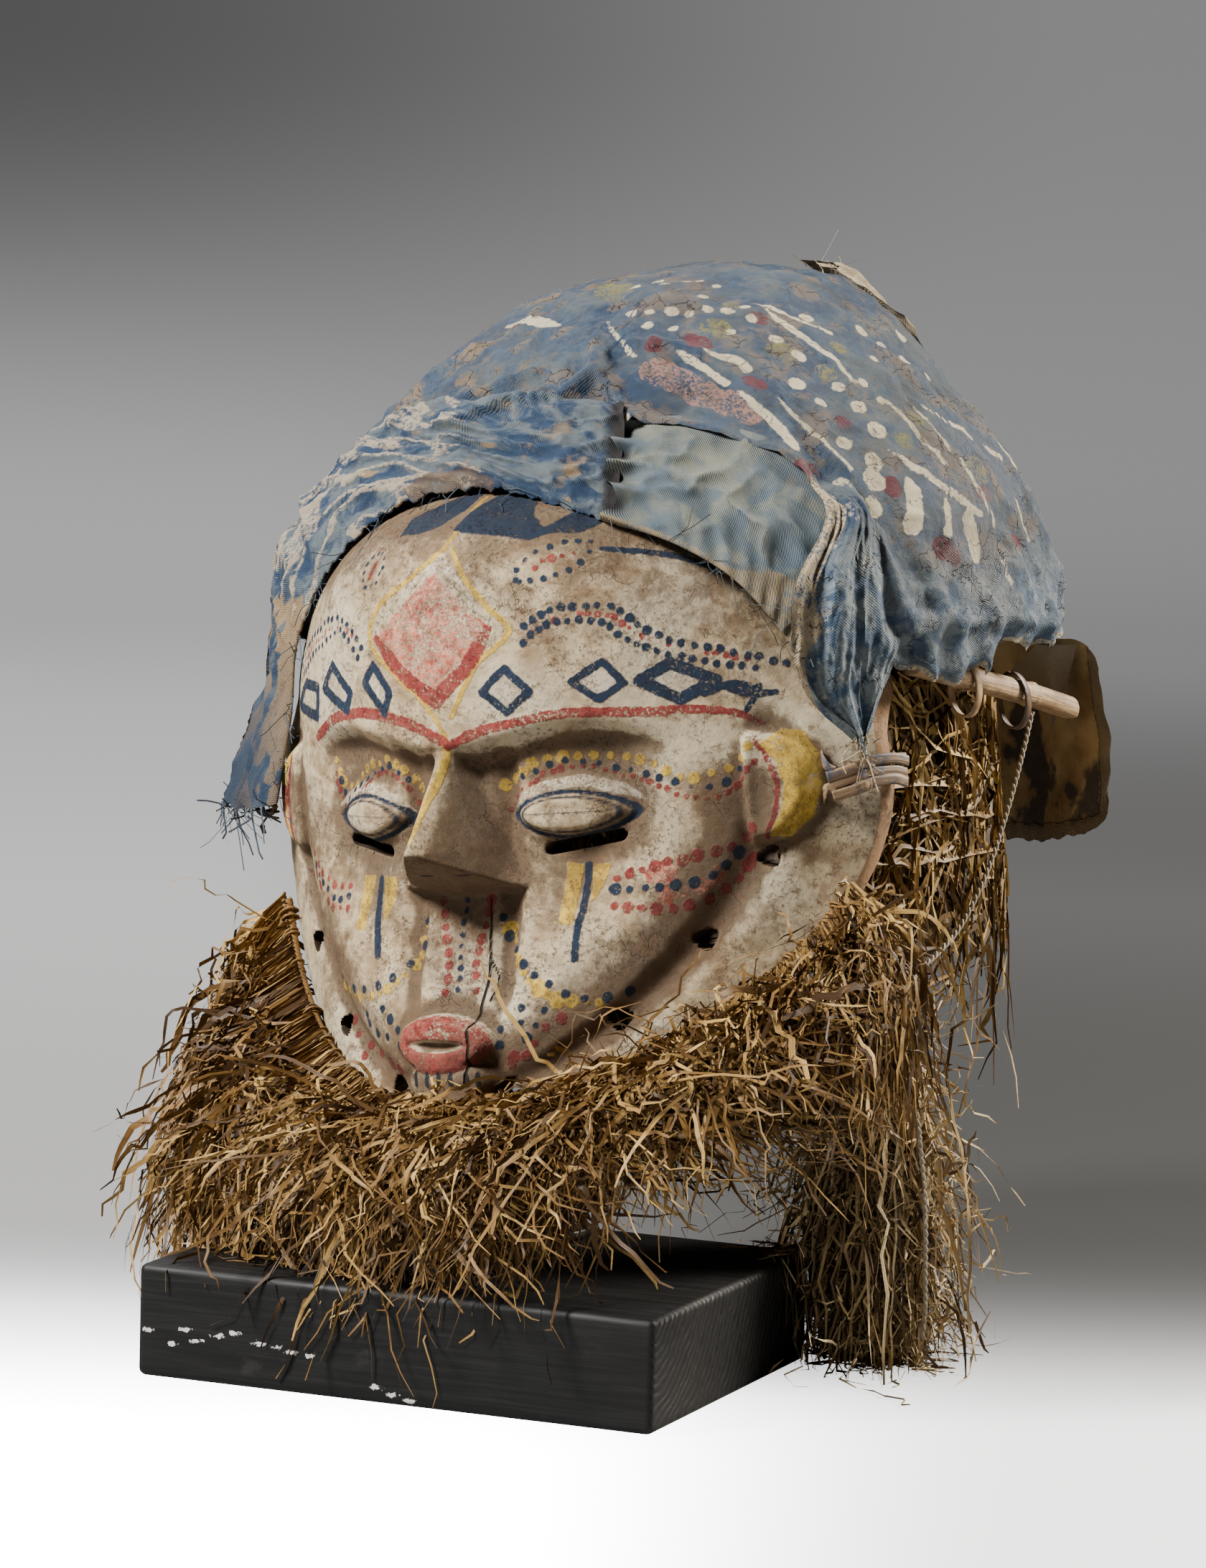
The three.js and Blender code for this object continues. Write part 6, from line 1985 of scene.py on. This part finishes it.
# Raffia tuft: a long bushy bundle from the collar's right end down to the floor beside the block, of
# thin brown strips full of short tangled ends.
tuft_foot, tuft_head = np.array([206.0, 152.0, 2.5]), to_block(np.array([[93.0, 34.0, -64.0]]))[0]


def tuft_strips(count, steps, start_low, start_high, length_low, length_high, loose, low, high):
    start = random.uniform(start_low, start_high, (count, 1))
    share = start + np.linspace(0, 1, steps)[None] * random.uniform(length_low, length_high, (count, 1))
    share = np.minimum(share, 1.0)
    spread = np.interp(1 - share, [0, 0.12, 0.4, 0.65, 0.85, 1], [1.0, 0.95, 0.75, 0.55, 0.45, 0.45])
    angle = random.uniform(0, math.tau, (count, 1)) + random.normal(0, 0.5, (count, 1)) * (share - start)
    radius = np.sqrt(random.uniform(0.02, 1.0, (count, 1))) * spread * 0.92
    middle = tuft_head + (tuft_foot - tuft_head) * share[..., None]
    lines = middle + xyz(19 * radius * np.cos(angle), 17 * radius * np.sin(angle), 0)
    lines += crumple(count, steps, loose, 2.4)
    out = lines - middle
    return off_block(from_block(lines)), widths(count, steps, low, high), out + [0.01, 0, 0]


# Painted shade: the long strips from the head take the darkened copy; the rest take a paler copy, as painted
# light
strip_piece(
    "raffia_tuft_shaded", [tuft_strips(560, 12, 0.0, 0.1, 0.6, 0.98, 1.2, 0.3, 0.8)], shaded, "raffia_tuft"
)
strip_piece(
    "raffia_tuft_strips",
    [
        tuft_strips(420, 16, 0.0, 0.08, 0.7, 1.05, 1.5, 0.3, 0.9),
        tuft_strips(2100, 12, 0.1, 0.95, -0.1, 0.4, 1.9, 0.2, 0.7),
    ],
    lightened_raffia, "raffia_tuft"
)


# Stand block: planed softwood painted matt black, edges eased, growth rings showing on its ends and
# white paint chipped onto its front.
def rounded_block(size, easing, cuts, sides=6):
    """A box with rounded edges, cut finely enough for its edge wear, from one corner."""
    made = bmesh.new()
    bmesh.ops.create_cube(made, size=1)
    bmesh.ops.scale(made, vec=size, verts=made.verts)
    bmesh.ops.translate(made, vec=np.array(size) / 2, verts=made.verts)
    bmesh.ops.bevel(made, geom=list(made.edges), offset=easing, segments=sides, profile=0.5, affect="EDGES")
    bmesh.ops.subdivide_edges(
        made, edges=[e for e in made.edges if e.calc_length() > 20], cuts=cuts, use_grid_fill=True
    )
    # The tool gives a few faces in another order each run, so points and faces are sorted
    corners = sorted(made.verts, key=lambda corner: tuple(corner.co))
    row_of = {corner: row for row, corner in enumerate(corners)}
    points = np.array([corner.co for corner in corners])
    faces = sorted([row_of[corner] for corner in face.verts] for face in made.faces)
    made.free()
    return points, faces


block_points, faces = rounded_block(BLOCK_SIZE, 2.6, 14)
CHIPS = [
    (4, 0, 16), (18, 0, 17.5), (22, 0, 14), (30, 0, 16.5), (36, 0, 18), (45, 0, 15.5), (52, 0, 15),
    (57, 0, 14), (64, 0, 13.4), (13, 0, 12), (88, 0, 5.5), (94, 0, 3.6), (100, 0, 2.2)
]
s = Shader("black_paint")
own = s.mark("own", "Vector")
x, y, z = (s.node("SeparateXYZ", k, Vector=own) for k in range(3))
grain = s.noise(s.scaled(own, (0.02, 0.5, 0.5)), 1.0, 5, 0.6, 0.3)
radial = s.node(
    "VectorMath", 1, {"operation": "DISTANCE"}, _0=s.scaled(own, (0.0, 1.0, 1.0)), _1=(0, -14, 66)
)
waver = s.times(s.noise(own, 18.0, 2), 7.0)
rings = s.math("SINE", s.times(s.plus(radial, waver), 1.9))
on_end = s.ramp(
    s.math("ABSOLUTE", s.minus(x, BLOCK_SIZE[0] / 2)), BLOCK_SIZE[0] / 2 - 1.2, BLOCK_SIZE[0] / 2 - 0.2
)
colour = s.mix(s.ramp(grain, 0.4, 0.7), (0.002, 0.002, 0.0022), (0.006, 0.006, 0.0063))
colour = s.over(colour, (0.009, 0.0085, 0.008), s.times(s.ramp(rings, -0.2, 1.0), on_end))
colour = s.over(colour, (0.03, 0.029, 0.027), s.ramp(s.noise(own, 26.0, 5, 0.7), 0.6, 0.72), 0.35)
for chip in CHIPS:
    spread = s.node(
        "VectorMath", 1, {"operation": "DISTANCE"}, _0=s.scaled(own, (0.35, 1.0, 1.0)),
        _1=(chip[0] * 0.35, chip[1], chip[2])
    )
    rough_edge = s.plus(spread, s.times(s.noise(own, 2.0, 3, 0.7), 3.4))
    colour = s.over(colour, (0.6, 0.58, 0.54), s.ramp(rough_edge, 2.2, 2.5, 1.0, 0.0))
height = s.plus(s.times(s.times(rings, on_end), 0.5), s.times(grain, 0.5))
black_paint = s.finish(colour, s.ramp(grain, 0.3, 0.7, 0.5, 0.68), s.bump(height, 0.35), 0.3)
piece(
    "stand_block_painted", from_block(block_points), faces, black_paint, "block", "stand_block",
    marks={"own": block_points}
)


# Stand cradle: a blackened steel rod with a round foot plate and a bar bent to the face's hollow.
s = Shader("blackened_steel")
place = s.mark("place", "Vector")
scale_marks = s.noise(place, 6.0, 5, 0.7)
steel = s.finish(
    s.mix(s.ramp(scale_marks, 0.4, 0.65), (0.03, 0.03, 0.032), (0.12, 0.11, 0.105)),
    s.ramp(scale_marks, 0.3, 0.7, 0.35, 0.55), s.bump(scale_marks, 0.1), Metallic=0.9
)
post_head = to_block(np.array([[0.0, -14.0, 50.0]]))[0]
ground = BLOCK_SIZE[2] + 0.4
upright = np.linspace([post_head[0], post_head[1], ground], post_head, 40)
plate = np.array([[post_head[0], post_head[1], ground + h] for h in (0, 0.4, 2.4, 3.0)])
bar_x = np.linspace(-44, 44, 9)
bar_y = mix(-14, back_y(bar_x, np.full(9, 50.0)) + 5, np.minimum(1, (np.abs(bar_x) / 38.1) ** 2))
bar_line = to_block(spline(xyz(bar_x, bar_y, 50.0), 90, even=True))
points, faces = merged(
    [
        tube(upright, 4, 4, 24), tube(plate, [18.5, 19, 19, 18.4], [18.5, 19, 19, 18.4], 48),
        tube(bar_line, 2.6, 2.6, 16)
    ]
)
piece("stand_cradle_steel", from_block(points), faces, steel, "steel", "stand_cradle")
